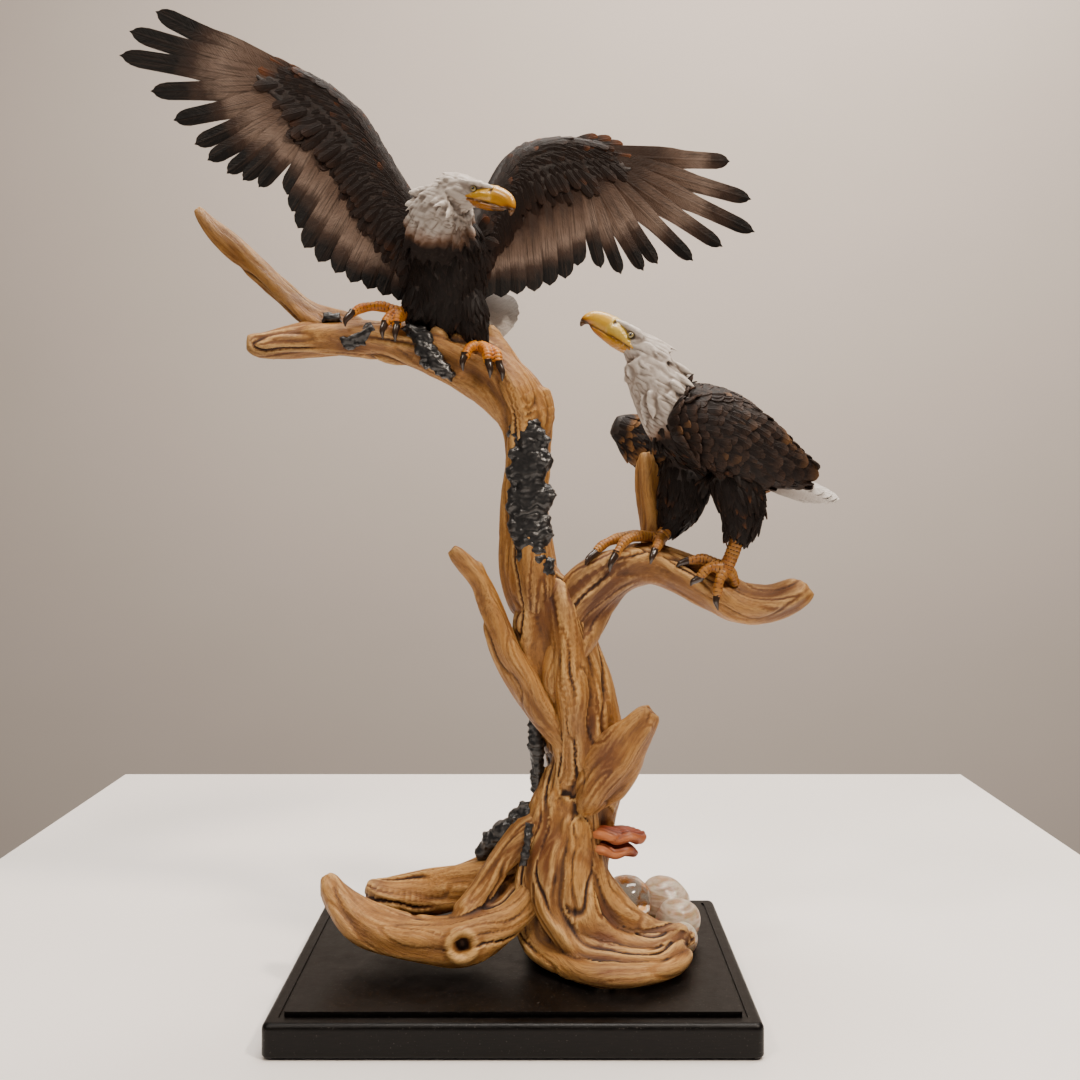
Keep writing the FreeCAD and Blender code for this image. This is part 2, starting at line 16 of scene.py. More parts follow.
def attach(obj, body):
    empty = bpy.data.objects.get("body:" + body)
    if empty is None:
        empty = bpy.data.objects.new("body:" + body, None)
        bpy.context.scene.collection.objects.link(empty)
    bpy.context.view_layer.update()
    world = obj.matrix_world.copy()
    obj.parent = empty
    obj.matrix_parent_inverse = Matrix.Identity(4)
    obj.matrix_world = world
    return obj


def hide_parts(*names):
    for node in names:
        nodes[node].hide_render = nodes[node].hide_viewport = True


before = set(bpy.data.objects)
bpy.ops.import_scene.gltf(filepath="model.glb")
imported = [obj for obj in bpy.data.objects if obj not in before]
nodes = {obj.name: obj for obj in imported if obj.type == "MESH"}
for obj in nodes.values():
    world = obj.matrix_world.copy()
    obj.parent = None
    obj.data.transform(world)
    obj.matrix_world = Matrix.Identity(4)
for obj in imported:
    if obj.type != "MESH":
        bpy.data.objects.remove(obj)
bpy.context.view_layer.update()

# %% [markdown]
# ## The camera
# A level camera at chest height of the statuette, close enough for the plinth's sides to converge. The
# sensor is shifted down a little in place of tilting, so that the tree stays upright.

# %% Camera
bpy.ops.object.select_all(action="DESELECT")
CAMERA_PLACE = (0.018, -0.7415, 0.337)
bpy.ops.object.camera_add(location=CAMERA_PLACE, rotation=(math.pi / 2, 0, 0))
camera = bpy.context.object
camera.name = "camera"
camera.data.sensor_width = 36
camera.data.lens = 36.07
camera.data.shift_x = -0.0028
camera.data.shift_y = -0.0435
bpy.context.scene.camera = camera
print("lens", camera.data.lens, "mm")

# %% [markdown]
# ## Words for materials
# A material is a graph of nodes. By hand it is wired in the shader editor; in a script, a few short words
# keep it readable: noise for a pattern, span to choose part of its range, mix and ramp to colour it, and
# paint and bump to join it to the shader. Patterns read Object coordinates, so that they stay on the piece.



# %% Small helpers for materials
def node(mat, kind, inputs=None, **settings):
    """Adds a node; an input given as a socket is linked, anything else is set as a value."""
    made = mat.node_tree.nodes.new(kind)
    for key, value in settings.items():
        setattr(made, key, value)
    for key, value in (inputs or {}).items():
        if isinstance(value, bpy.types.NodeSocket):
            mat.node_tree.links.new(value, made.inputs[key])
        else:
            made.inputs[key].default_value = value
    return made


def material(name, roughness=0.5, **shader):
    """A material with its shader, which is returned too."""
    mat = bpy.data.materials.new(name)
    mat.use_nodes = True
    bsdf = mat.node_tree.nodes["Principled BSDF"]
    bsdf.inputs["Roughness"].default_value = roughness
    for key, value in shader.items():
        bsdf.inputs[key.replace("_", " ")].default_value = value
    return mat, bsdf


def place(mat):
    return node(mat, "ShaderNodeTexCoord").outputs["Object"]


def noise(mat, vector, scale, detail=4.0, roughness=0.55):
    inputs = {"Vector": vector, "Scale": scale, "Detail": detail, "Roughness": roughness}
    return node(mat, "ShaderNodeTexNoise", inputs).outputs["Fac"]


def ramp(mat, value, stops):
    """Colour by value: stops are (position, (r, g, b))."""
    made = node(mat, "ShaderNodeValToRGB", {"Fac": value})
    points = made.color_ramp.elements
    while len(points) < len(stops):
        points.new(0.5)
    for point, (position, colour) in zip(points, stops):
        point.position = position
        point.color = (*colour, 1.0)
    return made.outputs["Color"]


def mix(mat, factor, first, second):
    made = node(mat, "ShaderNodeMix", data_type="RGBA")
    for index, value in ((0, factor), (6, first), (7, second)):
        if isinstance(value, bpy.types.NodeSocket):
            mat.node_tree.links.new(value, made.inputs[index])
        else:
            made.inputs[index].default_value = value if index == 0 else (*value, 1.0)
    return made.outputs[2]


def maths(mat, operation, first, second=0.0):
    return node(mat, "ShaderNodeMath", {0: first, 1: second}, operation=operation).outputs[0]


def span(mat, value, low, high, to_low=0.0, to_high=1.0):
    """Maps low..high to to_low..to_high, clamped."""
    inputs = {"Value": value, "From Min": low, "From Max": high, "To Min": to_low, "To Max": to_high}
    return node(mat, "ShaderNodeMapRange", inputs).outputs["Result"]


def attribute(mat, name, output="Fac"):
    return node(mat, "ShaderNodeAttribute", attribute_name=name).outputs[output]


def bump(mat, bsdf, height, distance, strength=1.0):
    """Roughens the look of a surface by a height, without changing its mesh."""
    inputs = {"Height": height, "Distance": distance, "Strength": strength}
    normal = node(mat, "ShaderNodeBump", inputs).outputs["Normal"]
    mat.node_tree.links.new(normal, bsdf.inputs["Normal"])


def paint(mat, bsdf, colour, roughness=None):
    mat.node_tree.links.new(colour, bsdf.inputs["Base Color"])
    if roughness is not None:
        mat.node_tree.links.new(roughness, bsdf.inputs["Roughness"])


# %% [markdown]
# ## The stage
# A white table top with a plain grey-beige wall some way behind it. Each is one plane, because only its
# front is seen, and both are stage pieces, so they aren't part of the statuette. A very weak, large
# pattern keeps the wall from looking like a flat fill.

# %% Table and wall
def select_only(obj):
    bpy.ops.object.select_all(action="DESELECT")
    obj.select_set(True)
    bpy.context.view_layer.objects.active = obj


def stage_plane(name, size, location, rotation, mat):
    bpy.ops.object.select_all(action="DESELECT")
    bpy.ops.mesh.primitive_plane_add(size=1, location=location, rotation=rotation)
    plane = bpy.context.object
    plane.name = name
    plane.scale = (*size, 1)
    plane.data.materials.append(mat)
    return plane


white_top, bsdf = material("white_table", roughness=0.55)
mottle = noise(white_top, place(white_top), 3.0)
paint(white_top, bsdf, ramp(white_top, mottle, [(0.3, (0.90, 0.855, 0.82)), (0.7, (0.94, 0.90, 0.87))]))

plaster, bsdf = material("plaster_wall", roughness=0.85)
mottle = noise(plaster, place(plaster), 1.6, detail=6.0, roughness=0.62)
paint(plaster, bsdf, ramp(plaster, mottle, [(0.3, (0.49, 0.425, 0.375)), (0.7, (0.565, 0.495, 0.445))]))

TABLE_BACK = 0.555
table = stage_plane("table_top", (1.0, 1.6), (0.018, TABLE_BACK - 0.8, 0), (0, 0, 0), white_top)
wall = stage_plane("wall", (6, 4), (0, 1.6, 1.0), (math.pi / 2, 0, 0), plaster)
print("table", table.dimensions[:2], "wall", wall.dimensions[:2])

# %% [markdown]
# ## The lights
# Warm light from above: a wide lamp over the statuette gives most of it, so that backs and limbs are bright
# and fronts fall into shade. Two small lamps in front, left and right, bring out the carving, a fourth
# washes the wall, and a weak sky keeps the undersides readable.



# %% Lights
def soft_lamp(name, location, aim, size, power, colour):
    bpy.ops.object.select_all(action="DESELECT")
    bpy.ops.object.light_add(type="AREA", location=location)
    lamp = bpy.context.object
    lamp.name = name
    lamp.data.shape = "DISK"
    lamp.data.size = size
    lamp.data.energy = power
    lamp.data.color = colour
    direction = Vector(aim) - Vector(location)
    lamp.rotation_euler = direction.to_track_quat("-Z", "Y").to_euler()
    return lamp


soft_lamp("lamp_right", (0.95, -0.75, 1.75), (0, 0, 0.3), 0.22, 33, (1.0, 0.86, 0.72))
soft_lamp("lamp_left", (-0.85, -0.95, 1.7), (0, 0, 0.3), 0.25, 15, (1.0, 0.88, 0.76))
soft_lamp("lamp_top", (0.1, 0.1, 2.3), (0, 0.2, 0.3), 1.2, 66, (1.0, 0.94, 0.87))
soft_lamp("wall_wash", (0.9, 0.6, 2.2), (0.7, 1.6, 1.2), 1.0, 38, (1.0, 0.93, 0.85))
world = bpy.data.worlds.new("room")
bpy.context.scene.world = world
world.use_nodes = True
world.node_tree.nodes["Background"].inputs["Color"].default_value = (1.0, 0.95, 0.90, 1)
world.node_tree.nodes["Background"].inputs["Strength"].default_value = 0.10

# %% [markdown]
# ## How the driftwood is carved
# Weathered wood is a bundle of twisted fibres. Each branch is therefore built the way it grew: tapered
# tubes wind round the branch's middle line, and a Remesh modifier melts them into one closed skin whose
# folds already run the right way. The grain is then pushed in along those same strands. Each vertex
# remembers where it lies along and around its strand, so that the stain can follow the grain too.


# %% Paths, tubes and skins
MM = 0.001


def smooth_path(stations, step=4.0):
    """A curve through the stations, sampled every few millimetres."""
    p = np.array(stations, float)
    ends = np.vstack([2 * p[0] - p[1], p, 2 * p[-1] - p[-2]])
    out = []
    for a, b, c, d in zip(ends, ends[1:], ends[2:], ends[3:]):
        t = np.linspace(0, 1, max(2, int(np.linalg.norm((c - b)[:3]) / step)), endpoint=False)[:, None]
        square, cube = 2 * a - 5 * b + 4 * c - d, 3 * b - a - 3 * c + d
        out.append(0.5 * (2 * b + (c - a) * t + square * t**2 + cube * t**3))
    return np.vstack(out + [p[-1:]])


def unit(v):
    return v / np.maximum(np.linalg.norm(v, axis=-1, keepdims=True), 1e-9)


def frames(path):
    """Directions along the path, and two across it that don't twist, and the length so far."""
    along = unit(np.gradient(path[:, :3], axis=0))
    start = np.array([0, 1.0, 0]) if abs(along[0][1]) < 0.9 else np.array([0, 0, 1.0])
    side = np.zeros_like(along)
    side[0] = unit(np.cross(start, along[0]))
    for i in range(1, len(along)):
        side[i] = unit(side[i - 1] - along[i] * np.dot(side[i - 1], along[i]))
    length = np.concatenate([[0], np.cumsum(np.linalg.norm(np.diff(path[:, :3], axis=0), axis=1))])
    return along, side, np.cross(along, side), length


def tube(path, sides=12):
    """A closed tube. A path row is x, y, z, radius, and may end with a second radius, across the first."""
    along, side, up, _ = frames(path)
    if path.shape[1] > 4:  # oval tubes keep their second radius front to back
        up = unit(np.array([0, 1.0, 0]) - along * along[:, 1:2])
        side = np.cross(up, along)
    turn = np.linspace(0, 2 * np.pi, sides, endpoint=False)
    wide, deep = path[:, 3, None, None], path[:, -1, None, None]
    cosine, sine = np.cos(turn)[None, :, None], np.sin(turn)[None, :, None]
    ring = side[:, None] * cosine * wide + up[:, None] * sine * deep
    verts = (path[:, None, :3] + ring).reshape(-1, 3)
    count = len(path)
    faces = []
    for i in range(count - 1):
        for k in range(sides):
            a, b = i * sides + k, i * sides + (k + 1) % sides
            faces.append((a, b, b + sides, a + sides))
    faces.append(tuple(range(sides - 1, -1, -1)))
    faces.append(tuple((count - 1) * sides + k for k in range(sides)))
    return verts, faces


print("a straight tube has", len(tube(smooth_path([(0, 0, 0, 5), (0, 0, 50, 5)]))[0]), "points")

# %% [markdown]
# ## Skins and points
# Overlapping tubes become one casting with the Remesh modifier in voxel mode, as a sculptor fuses clay. Its
# even mesh can then be pushed along its normals and smoothed with numpy, which is much quicker than a
# modifier for each step. Millimetres are used all through, and turned into metres in the mesh only.


# %% Skins and points
def new_piece(name, lumps):
    """A mesh object from (vertices in millimetres, faces) lumps."""
    verts, faces, offset = [], [], 0
    for points, polygons in lumps:
        verts.append(points)
        faces.extend(tuple(i + offset for i in f) for f in polygons)
        offset += len(points)
    mesh = bpy.data.meshes.new(name)
    mesh.from_pydata((np.vstack(verts) * MM).tolist(), [], faces)
    mesh.update()
    piece = bpy.data.objects.new(name, mesh)
    bpy.context.scene.collection.objects.link(piece)
    return piece


def apply_modifier(piece, kind, **settings):
    select_only(piece)
    modifier = piece.modifiers.new(kind.lower(), kind)
    for key, value in settings.items():
        setattr(modifier, key, value)
    bpy.ops.object.modifier_apply(modifier=modifier.name)


def melt(name, lumps, voxel):
    """Unites overlapping closed lumps into one skin of even squares, voxel millimetres wide."""
    piece = new_piece(name, lumps)
    apply_modifier(piece, "REMESH", mode="VOXEL", voxel_size=voxel * MM, use_smooth_shade=True)
    return piece


def points_of(piece):
    co = np.empty(len(piece.data.vertices) * 3, np.float32)
    piece.data.vertices.foreach_get("co", co)
    return co.reshape(-1, 3).astype(float) / MM


def move_points(piece, co):
    piece.data.vertices.foreach_set("co", (co * MM).astype(np.float32).ravel())
    piece.data.update()


def normals_of(piece):
    out = np.empty(len(piece.data.vertices) * 3, np.float32)
    piece.data.vertex_normals.foreach_get("vector", out)
    return out.reshape(-1, 3).astype(float)


def edges_of(piece):
    out = np.empty(len(piece.data.edges) * 2, np.int32)
    piece.data.edges.foreach_get("vertices", out)
    return out.reshape(-1, 2)


def relax(co, edges, times, amount=0.5):
    """Moves each point towards the middle of its neighbours."""
    co = co.copy()
    a, b = edges.T
    degree = np.maximum(np.bincount(edges.ravel(), minlength=len(co)), 1)[:, None]
    for _ in range(times):
        total = np.stack(
            [np.bincount(a, co[b, k], len(co)) + np.bincount(b, co[a, k], len(co)) for k in range(3)], 1
        )
        co += amount * (total / degree - co)
    return co


def record_value(piece, name, values):
    """Keeps a number or a vector per vertex, for materials to read."""
    kind, key = ("FLOAT_VECTOR", "vector") if values.ndim == 2 else ("FLOAT", "value")
    piece.data.attributes.new(name, kind, "POINT")
    piece.data.attributes[name].data.foreach_set(key, values.astype(np.float32).ravel())


def hollows(piece, fine=3, coarse=24):
    """How far each point lies below its smoothed surroundings, in millimetres; ridges are negative."""
    co, normals, edges = points_of(piece), normals_of(piece), edges_of(piece)
    near = relax(co, edges, fine, 0.6)
    far = relax(near, edges, coarse, 0.6)
    return ((near - co) * normals).sum(1), ((far - co) * normals).sum(1)


# %% [markdown]
# ## Smooth random values
# Wood and feathers are uneven in a smooth way. A small block of random numbers, blended between its
# corners, gives such values anywhere, and the same ones on every run. Folding them at the middle makes
# sharp creases, which is how cracks and hair lines are drawn.

# %% Smooth random values in space
LATTICE = np.random.default_rng(5).random((32, 32, 32))


def cloud(p):
    """Smooth random values between 0 and 1, one lattice cell per unit of p."""
    cell = np.floor(p).astype(int)
    f = p - cell
    f = f * f * (3 - 2 * f)
    value = 0
    for dx in (0, 1):
        for dy in (0, 1):
            for dz in (0, 1):
                corner = LATTICE[(cell[:, 0] + dx) % 32, (cell[:, 1] + dy) % 32, (cell[:, 2] + dz) % 32]
                weight = (f[:, 0] if dx else 1 - f[:, 0]) * (f[:, 1] if dy else 1 - f[:, 1])
                value = value + corner * weight * (f[:, 2] if dz else 1 - f[:, 2])
    return value


def ridged(p):
    """Like cloud, but with sharp creases at 0 and broad backs at 1."""
    return np.abs(2 * cloud(p) - 1)


print("clouds between", round(float(LATTICE.min()), 3), "and", round(float(LATTICE.max()), 3))

# %% [markdown]
# ## Strands
# A branch's strands stay inside its outline: each winds round at a share of the radius and is as thick as
# the rest of the radius. Their thickness swells and fades along the way, as fibres do. At both ends they
# taper and sink, at different lengths, so that one branch grows out of the next without a step.


# %% Wind strands round a branch
def ease(x):
    x = np.clip(x, 0, 1)
    return x * x * (3 - 2 * x)


def wind(stations, count=6, twist=1.0, reach=0.55, thick=0.45, seed=0, start=30.0, end=6.0):
    """Paths of a branch's strands, its core last. Twist is in radians for each 100 mm."""
    rng = np.random.default_rng(seed)
    path = smooth_path(stations)
    along, side, up, length = frames(path)
    core = path.copy()
    rise = 0.55 + 0.45 * ease((length + 2) / start)
    fall = 0.7 + 0.3 * ease((length[-1] - length + 2) / end)
    core[:, 3] *= 0.80 * rise * fall
    out = []
    for k in range(count):
        grow = ease((length - rng.uniform(0, 0.4) * start + 2) / (rng.uniform(0.6, 1.0) * start))
        stop = ease((length[-1] - length - rng.uniform(-0.3, 0.8) * end + 3) / (1.2 * end))
        wander = 0.45 * np.sin(length / rng.uniform(26, 48) + rng.uniform(0, 6))
        angle = 2 * np.pi * k / count + rng.uniform(-0.4, 0.4) + twist * length / 100 + wander
        swell = rng.uniform(0.85, 1.15)
        swell = swell * (1 + 0.20 * np.sin(length / rng.uniform(18, 36) + rng.uniform(0, 6)))
        far = path[:, 3] * reach * (1 + 0.10 * np.sin(length / rng.uniform(20, 40) + rng.uniform(0, 6)))
        far *= (0.45 + 0.55 * grow) * (0.6 + 0.4 * stop)
        strand = path.copy()
        strand[:, :3] += (side * np.cos(angle)[:, None] + up * np.sin(angle)[:, None]) * far[:, None]
        strand[:, 3] *= thick * swell * (0.35 + 0.65 * grow) * (0.5 + 0.5 * stop)
        out.append(strand)
    return out + [core]


def grain_places(co, paths, twists):
    """Per point: its distance along its branch, and two offsets across that turn with the strands."""
    samples, sides, ups, alongs, lengths, turns = [], [], [], [], [], []
    for number, (path, twist) in enumerate(zip(paths, twists)):
        along, side, up, length = frames(path)
        samples.append(path)
        sides.append(side)
        ups.append(up)
        alongs.append(along)
        lengths.append(length + 1000.0 * number)
        turns.append(twist * length / 100)
    samples, sides, ups, alongs = (np.vstack(v) for v in (samples, sides, ups, alongs))
    lengths, turns = np.concatenate(lengths), np.concatenate(turns)
    best = np.empty(len(co), int)
    centres, radii = samples[:, :3].astype(np.float32), samples[:, 3]
    square = (centres**2).sum(1)
    for first in range(0, len(co), 4000):
        part = co[first : first + 4000].astype(np.float32)
        gap = (part**2).sum(1)[:, None] + square[None] - 2 * part @ centres.T
        best[first : first + 4000] = np.argmin(np.sqrt(np.maximum(gap, 0)) - radii[None], axis=1)
    offset = co - samples[best, :3]
    run = (offset * alongs[best]).sum(1)
    x, y = (offset * sides[best]).sum(1), (offset * ups[best]).sum(1)
    turn = turns[best]
    return np.stack(
        [lengths[best] + run, x * np.cos(turn) + y * np.sin(turn), y * np.cos(turn) - x * np.sin(turn)],
        1,
    )


def furrow(value, width):
    """1 on the line where a ridged value is 0, falling to 0 within the width."""
    return np.exp(-((value / width) ** 2))


def carve(piece, paths, twists, depth=1.0, blend=10, holes=()):
    """Cuts long furrows and fine grain into a melted branch, and records what its stain and painted shade
    need.
    """
    edges = edges_of(piece)
    move_points(piece, relax(points_of(piece), edges, blend))
    co, normals = points_of(piece), normals_of(piece)
    grain = grain_places(co, paths, twists)
    warp = np.stack([0 * co[:, 0], cloud(co / 23.0) - 0.5, cloud(co / 23.0 + 9) - 0.5], 1) * 9.0
    flow = grain + warp
    broad = cloud(flow * np.array([1 / 60, 1 / 15, 1 / 15]) + 1.7) - 0.5
    deep = furrow(ridged(flow * np.array([1 / 95, 1 / 15, 1 / 15]) + 3.3), 0.085)
    deep *= ease(cloud(co / 38.0 + 2.2) * 2.6 - 0.8)
    mid = furrow(ridged(flow * np.array([1 / 60, 1 / 7.5, 1 / 7.5]) + 6.1), 0.13)
    fibres = ridged(flow * np.array([1 / 38, 1 / 3.3, 1 / 3.3]) + 9.1)
    height = depth * (2.6 * broad - 2.3 * deep - 0.65 * mid) + 0.42 * fibres - 0.2
    for x, y, z, radius, sink in holes:
        away = np.linalg.norm(co - np.array([x, y, z]), axis=1)
        rim = furrow(away - 1.35 * radius, 0.35 * radius)
        inside = 1 - ease((away - 0.45 * radius) / (0.65 * radius))
        height = height * (1 - inside) + 1.6 * rim - sink * inside
    move_points(piece, relax(co + normals * height[:, None], edges, 1, 0.3))
    near, wide = hollows(piece)
    record_value(piece, "grain", flow * np.array([0.09, 1.0, 1.0]))
    record_value(piece, "crease", near)
    record_value(piece, "hollow", wide)
    record_value(piece, "patch", cloud(co / 42.0 + 7.7))


def branch(name, replaced, parts, voxel=1.3, knobs=(), **carving):
    """A driftwood piece: strands wound round each part's stations, melted, carved and put on its body."""
    strands = [
        strand for part in parts for strand in wind(**part)
    ] + [smooth_path(knob) for knob in knobs]
    piece = melt(name, [tube(strand) for strand in strands], voxel)
    carve(
        piece, [smooth_path(part["stations"]) for part in parts],
        [part.get("twist", 1.0) for part in parts], **carving,
    )
    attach(piece, "root")
    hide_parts(*replaced)
    print(name, len(piece.data.polygons), "faces")
    return piece


# %% [markdown]
# ## Driftwood finish
# The real piece is cream-coloured resin, stained honey brown and wiped, so that the stain stays in the
# grooves. The finish does the same: pale ridges, honey flanks and dark brown creases, with thin brown
# lines that follow each strand's own grain and a soft satin sheen. Over the stain, painted shade darkens
# the broad hollows and takes the deepest creases nearly to black.


# %% Driftwood finish
driftwood, bsdf = material("driftwood_stain_and_shade", roughness=0.5, Specular_IOR_Level=0.4)
grain = attribute(driftwood, "grain", "Vector")
crease, hollow, patch = (attribute(driftwood, name) for name in ("crease", "hollow", "patch"))
lines = noise(driftwood, grain, 0.9, detail=3.0, roughness=0.6)
hairs = noise(driftwood, grain, 3.2, detail=2.0, roughness=0.5)
blotches = noise(driftwood, place(driftwood), 30.0, detail=5.0, roughness=0.62)
tone = maths(
    driftwood, "ADD", maths(driftwood, "MULTIPLY", patch, 0.55),
    maths(driftwood, "MULTIPLY", blotches, 0.45),
)
honey = ramp(
    driftwood, tone,
    [
        (0.30, (0.115, 0.036, 0.006)), (0.42, (0.235, 0.092, 0.016)), (0.56, (0.38, 0.170, 0.034)),
        (0.72, (0.15, 0.048, 0.010)),
    ],
)
honey = mix(driftwood, span(driftwood, crease, 0.0, -0.24, 0.0, 0.9), honey, (0.62, 0.365, 0.125))
honey = mix(driftwood, span(driftwood, lines, 0.48, 0.66, 0.0, 0.6), honey, (0.14, 0.052, 0.014))
honey = mix(driftwood, span(driftwood, hairs, 0.54, 0.72, 0.0, 0.4), honey, (0.10, 0.038, 0.012))
# painted shade over the stain: broad hollows go dark brown and the deepest creases nearly black
honey = mix(driftwood, span(driftwood, hollow, -0.3, 1.4, 0.0, 0.92), honey, (0.062, 0.020, 0.007))
honey = mix(driftwood, span(driftwood, crease, 0.04, 0.34, 0.0, 0.92), honey, (0.018, 0.006, 0.003))
paint(driftwood, bsdf, honey, span(driftwood, crease, -0.3, 0.4, 0.38, 0.66))
bump(
    driftwood, bsdf, maths(driftwood, "ADD", lines, maths(driftwood, "MULTIPLY", hairs, 0.6)), 0.0007,
    0.8,
)
print(driftwood.name)

# %% [markdown]
# ## The tree
# Eight castings: the trunk with the roots that it stands on, the broken log at its foot, the upper limb
# with its prong, the right limb with its upright stub, the spur at the left and the stub at the right.

# %% Trunk and roots
TRUNK = [
    (30, 5, 24, 33), (32, 5, 53, 29), (36, 4, 91, 26), (39, 4, 121, 26), (46, 3, 157, 29),
    (40, 0, 195, 29), (28, 0, 229, 27), (19, 0, 257, 26), (11, 0, 284, 22), (8, 0, 300, 17),
]
BACK_ROOT = [
    (34, 5, 120, 20), (14, 6, 96, 22), (-12, 10, 77, 19), (-40, 14, 63, 17), (-68, 18, 56, 15),
    (-93, 20, 55, 12), (-108, 22, 60, 8),
]
SIDE_ROOT = [
    (48, -4, 150, 18), (44, -8, 112, 19), (50, -15, 76, 17), (70, -20, 52, 14), (94, -20, 42, 11),
    (114, -17, 39, 8), (119, -20, 40, 6),
]
FAN = [  # ribs of the foot, which fall from the trunk's front and then sweep to the right
    [
        (27, -2, 150, 16), (18, -10, 105, 18), (11, -13, 75, 15), (9, -14, 52, 12), (14, -22, 37, 10),
        (28, -38, 33, 9), (51, -57, 32, 9), (78, -60, 32, 9), (102, -46, 32, 8), (114, -27, 33, 7),
    ],
    [
        (32, -12, 122, 17), (27, -20, 88, 17), (27, -28, 62, 14), (39, -39, 45, 11), (61, -47, 38, 10),
        (87, -46, 36, 9), (109, -29, 37, 8),
    ],
    [
        (39, -14, 112, 17), (39, -24, 78, 16), (47, -32, 55, 13), (66, -35, 43, 10), (90, -34, 40, 9),
        (111, -22, 41, 7),
    ],
    [(45, -10, 104, 16), (50, -20, 68, 15), (66, -24, 49, 12), (92, -24, 43, 9), (115, -18, 44, 6)],
]
trunk = branch(
    "driftwood_trunk_carved", ["driftwood_trunk"],
    [
        dict(stations=TRUNK, count=7, twist=0.7, reach=0.64, thick=0.38, seed=1, start=8, end=30),
        dict(stations=BACK_ROOT, count=4, twist=1.2, seed=2),
        dict(stations=SIDE_ROOT, count=3, twist=-0.6, reach=0.4, thick=0.6, seed=4),
    ] + [
        dict(stations=rib, count=2, twist=0.4, reach=0.35, thick=0.62, seed=20 + i)
        for i, rib in enumerate(FAN)
    ],
    voxel=1.4, blend=9, depth=1.35,
)
trunk.data.materials.append(driftwood)

# %% [markdown]
# ## The broken log
# At the front left a short thick log lies across the plinth and points up at its tip. A second root
# bridges from the trunk to it. The knot hole is cut by pushing points inwards round one place, with a
# raised rim.

# %% The broken log
LOG_ROOT = [
    (26, -4, 84, 16), (8, -8, 68, 19), (-9, -18, 54, 17), (-33, -28, 45, 19), (-56, -28, 43, 17),
    (-81, -24, 43, 16), (-104, -15, 48, 15), (-119, -8, 60, 12), (-128, -4, 72, 9), (-131, -3, 77, 7),
]
BRIDGE_ROOT = [
    (24, -8, 128, 12), (8, -12, 108, 14), (-11, -14, 88, 12), (-26, -18, 67, 11), (-36, -24, 54, 13),
]
log = branch(
    "driftwood_log_carved", ["driftwood_log_root"],
    [
        dict(stations=LOG_ROOT, count=4, twist=0.8, seed=5),
        dict(stations=BRIDGE_ROOT, count=3, twist=1.0, seed=6),
    ],
    holes=[(-34, -46, 46, 7, 9)],
)
log.data.materials.append(driftwood)

# %% [markdown]
# ## The upper limb
# The limb leaves the trunk, bends to the left and tapers to a blunt end. The prong rises from its top.
# Knobs are short tubes melted in: the broken twigs that the upper bird stands between.

# %% Upper limb and prong
UPPER_LIMB = [
    (24, -3, 232, 16), (15, -2, 258, 21), (9, 0, 284, 23), (7, 0, 305, 21), (6, 0, 332, 18),
    (8, 0, 360, 17), (8, 0, 386, 20), (0, 0, 404, 23), (-20, 0, 420, 22), (-44, 0, 431, 19),
    (-73, 0, 439, 17), (-104, -2, 443, 15), (-133, -4, 442, 14), (-154, -8, 439, 12),
    (-171, -12, 436, 10), (-182, -14, 438, 8),
]
UPPER_PRONG = [
    (-88, 0, 438, 10), (-112, 0, 446, 12), (-143, 4, 460, 11), (-163, 8, 478, 10), (-183, 12, 496, 9),
    (-202, 15, 512, 8), (-217, 18, 526, 6), (-226, 20, 537, 4),
]
upper = branch(
    "driftwood_upper_limb_carved", ["driftwood_upper_limb"],
    [dict(stations=UPPER_LIMB, count=5, twist=0.8, seed=7, start=40)],
    knobs=[
        [(-8, 2, 422, 12), (-15, 3, 438, 9), (-19, 4, 449, 6), (-20, 4, 453, 4)],
        [(-48, -6, 434, 9), (-53, -7, 446, 7), (-55, -7, 452, 4)],
        [(8, 0, 372, 14), (16, -2, 390, 12), (14, -2, 408, 9)],
    ],
)
prong = branch(
    "driftwood_upper_prong_carved", ["driftwood_upper_prong"],
    [dict(stations=UPPER_PRONG, count=3, twist=1.0, thick=0.5, seed=8)], voxel=1.1, depth=0.6, blend=6,
)

# %% [markdown]
# ## The right limb and the short branches
# The right limb arches out and carries the lower bird. The stub behind the bird, the spur at the left
# and the broken stub at the right are castings of their own, so each is a piece of its own. Small ones
# get finer voxels and shallower carving.

# %% Right limb, perch stub, spur and stub
RIGHT_LIMB = [
    (44, -8, 170, 12), (32, -8, 200, 18), (30, -4, 228, 21), (40, -2, 252, 21), (54, -4, 272, 20),
    (72, -5, 285, 18), (91, -6, 289, 17), (112, -8, 283, 16), (132, -10, 272, 15), (152, -12, 262, 14),
    (171, -12, 262, 12), (186, -12, 268, 11), (196, -12, 275, 9),
]
PERCH_STUB = [
    (96, 8, 280, 15), (95, 12, 300, 12), (94, 12, 318, 10), (92, 15, 340, 9.5), (91, 17, 356, 8.5),
    (90, 18, 366, 7),
]
LEFT_SPUR = [
    (36, -14, 158, 9), (24, -14, 182, 14), (8, -12, 208, 15), (-7, -13, 234, 13), (-16, -14, 258, 10),
    (-24, -16, 278, 8), (-35, -18, 292, 7), (-43, -20, 300, 6),
]
RIGHT_STUB = [
    (44, -14, 112, 12), (52, -14, 138, 18), (63, -16, 156, 18), (74, -19, 173, 15), (84, -21, 186, 12),
    (90, -22, 193, 9),
]
right = branch(
    "driftwood_right_limb_carved", ["driftwood_right_limb"],
    [dict(stations=RIGHT_LIMB, count=5, twist=0.9, seed=9, start=45)],
)
perch = branch(
    "driftwood_perch_stub_carved", ["driftwood_perch_stub"],
    [dict(stations=PERCH_STUB, count=3, twist=0.6, seed=10)], voxel=1.1, depth=0.5, blend=6,
)
spur = branch(
    "driftwood_left_spur_carved", ["driftwood_left_spur"],
    [dict(stations=LEFT_SPUR, count=3, twist=0.8, seed=11, start=40)], voxel=1.1, depth=0.7, blend=8,
    knobs=[[(-20, -16, 268, 6), (-24, -18, 283, 4), (-25, -18, 291, 2)]],
)
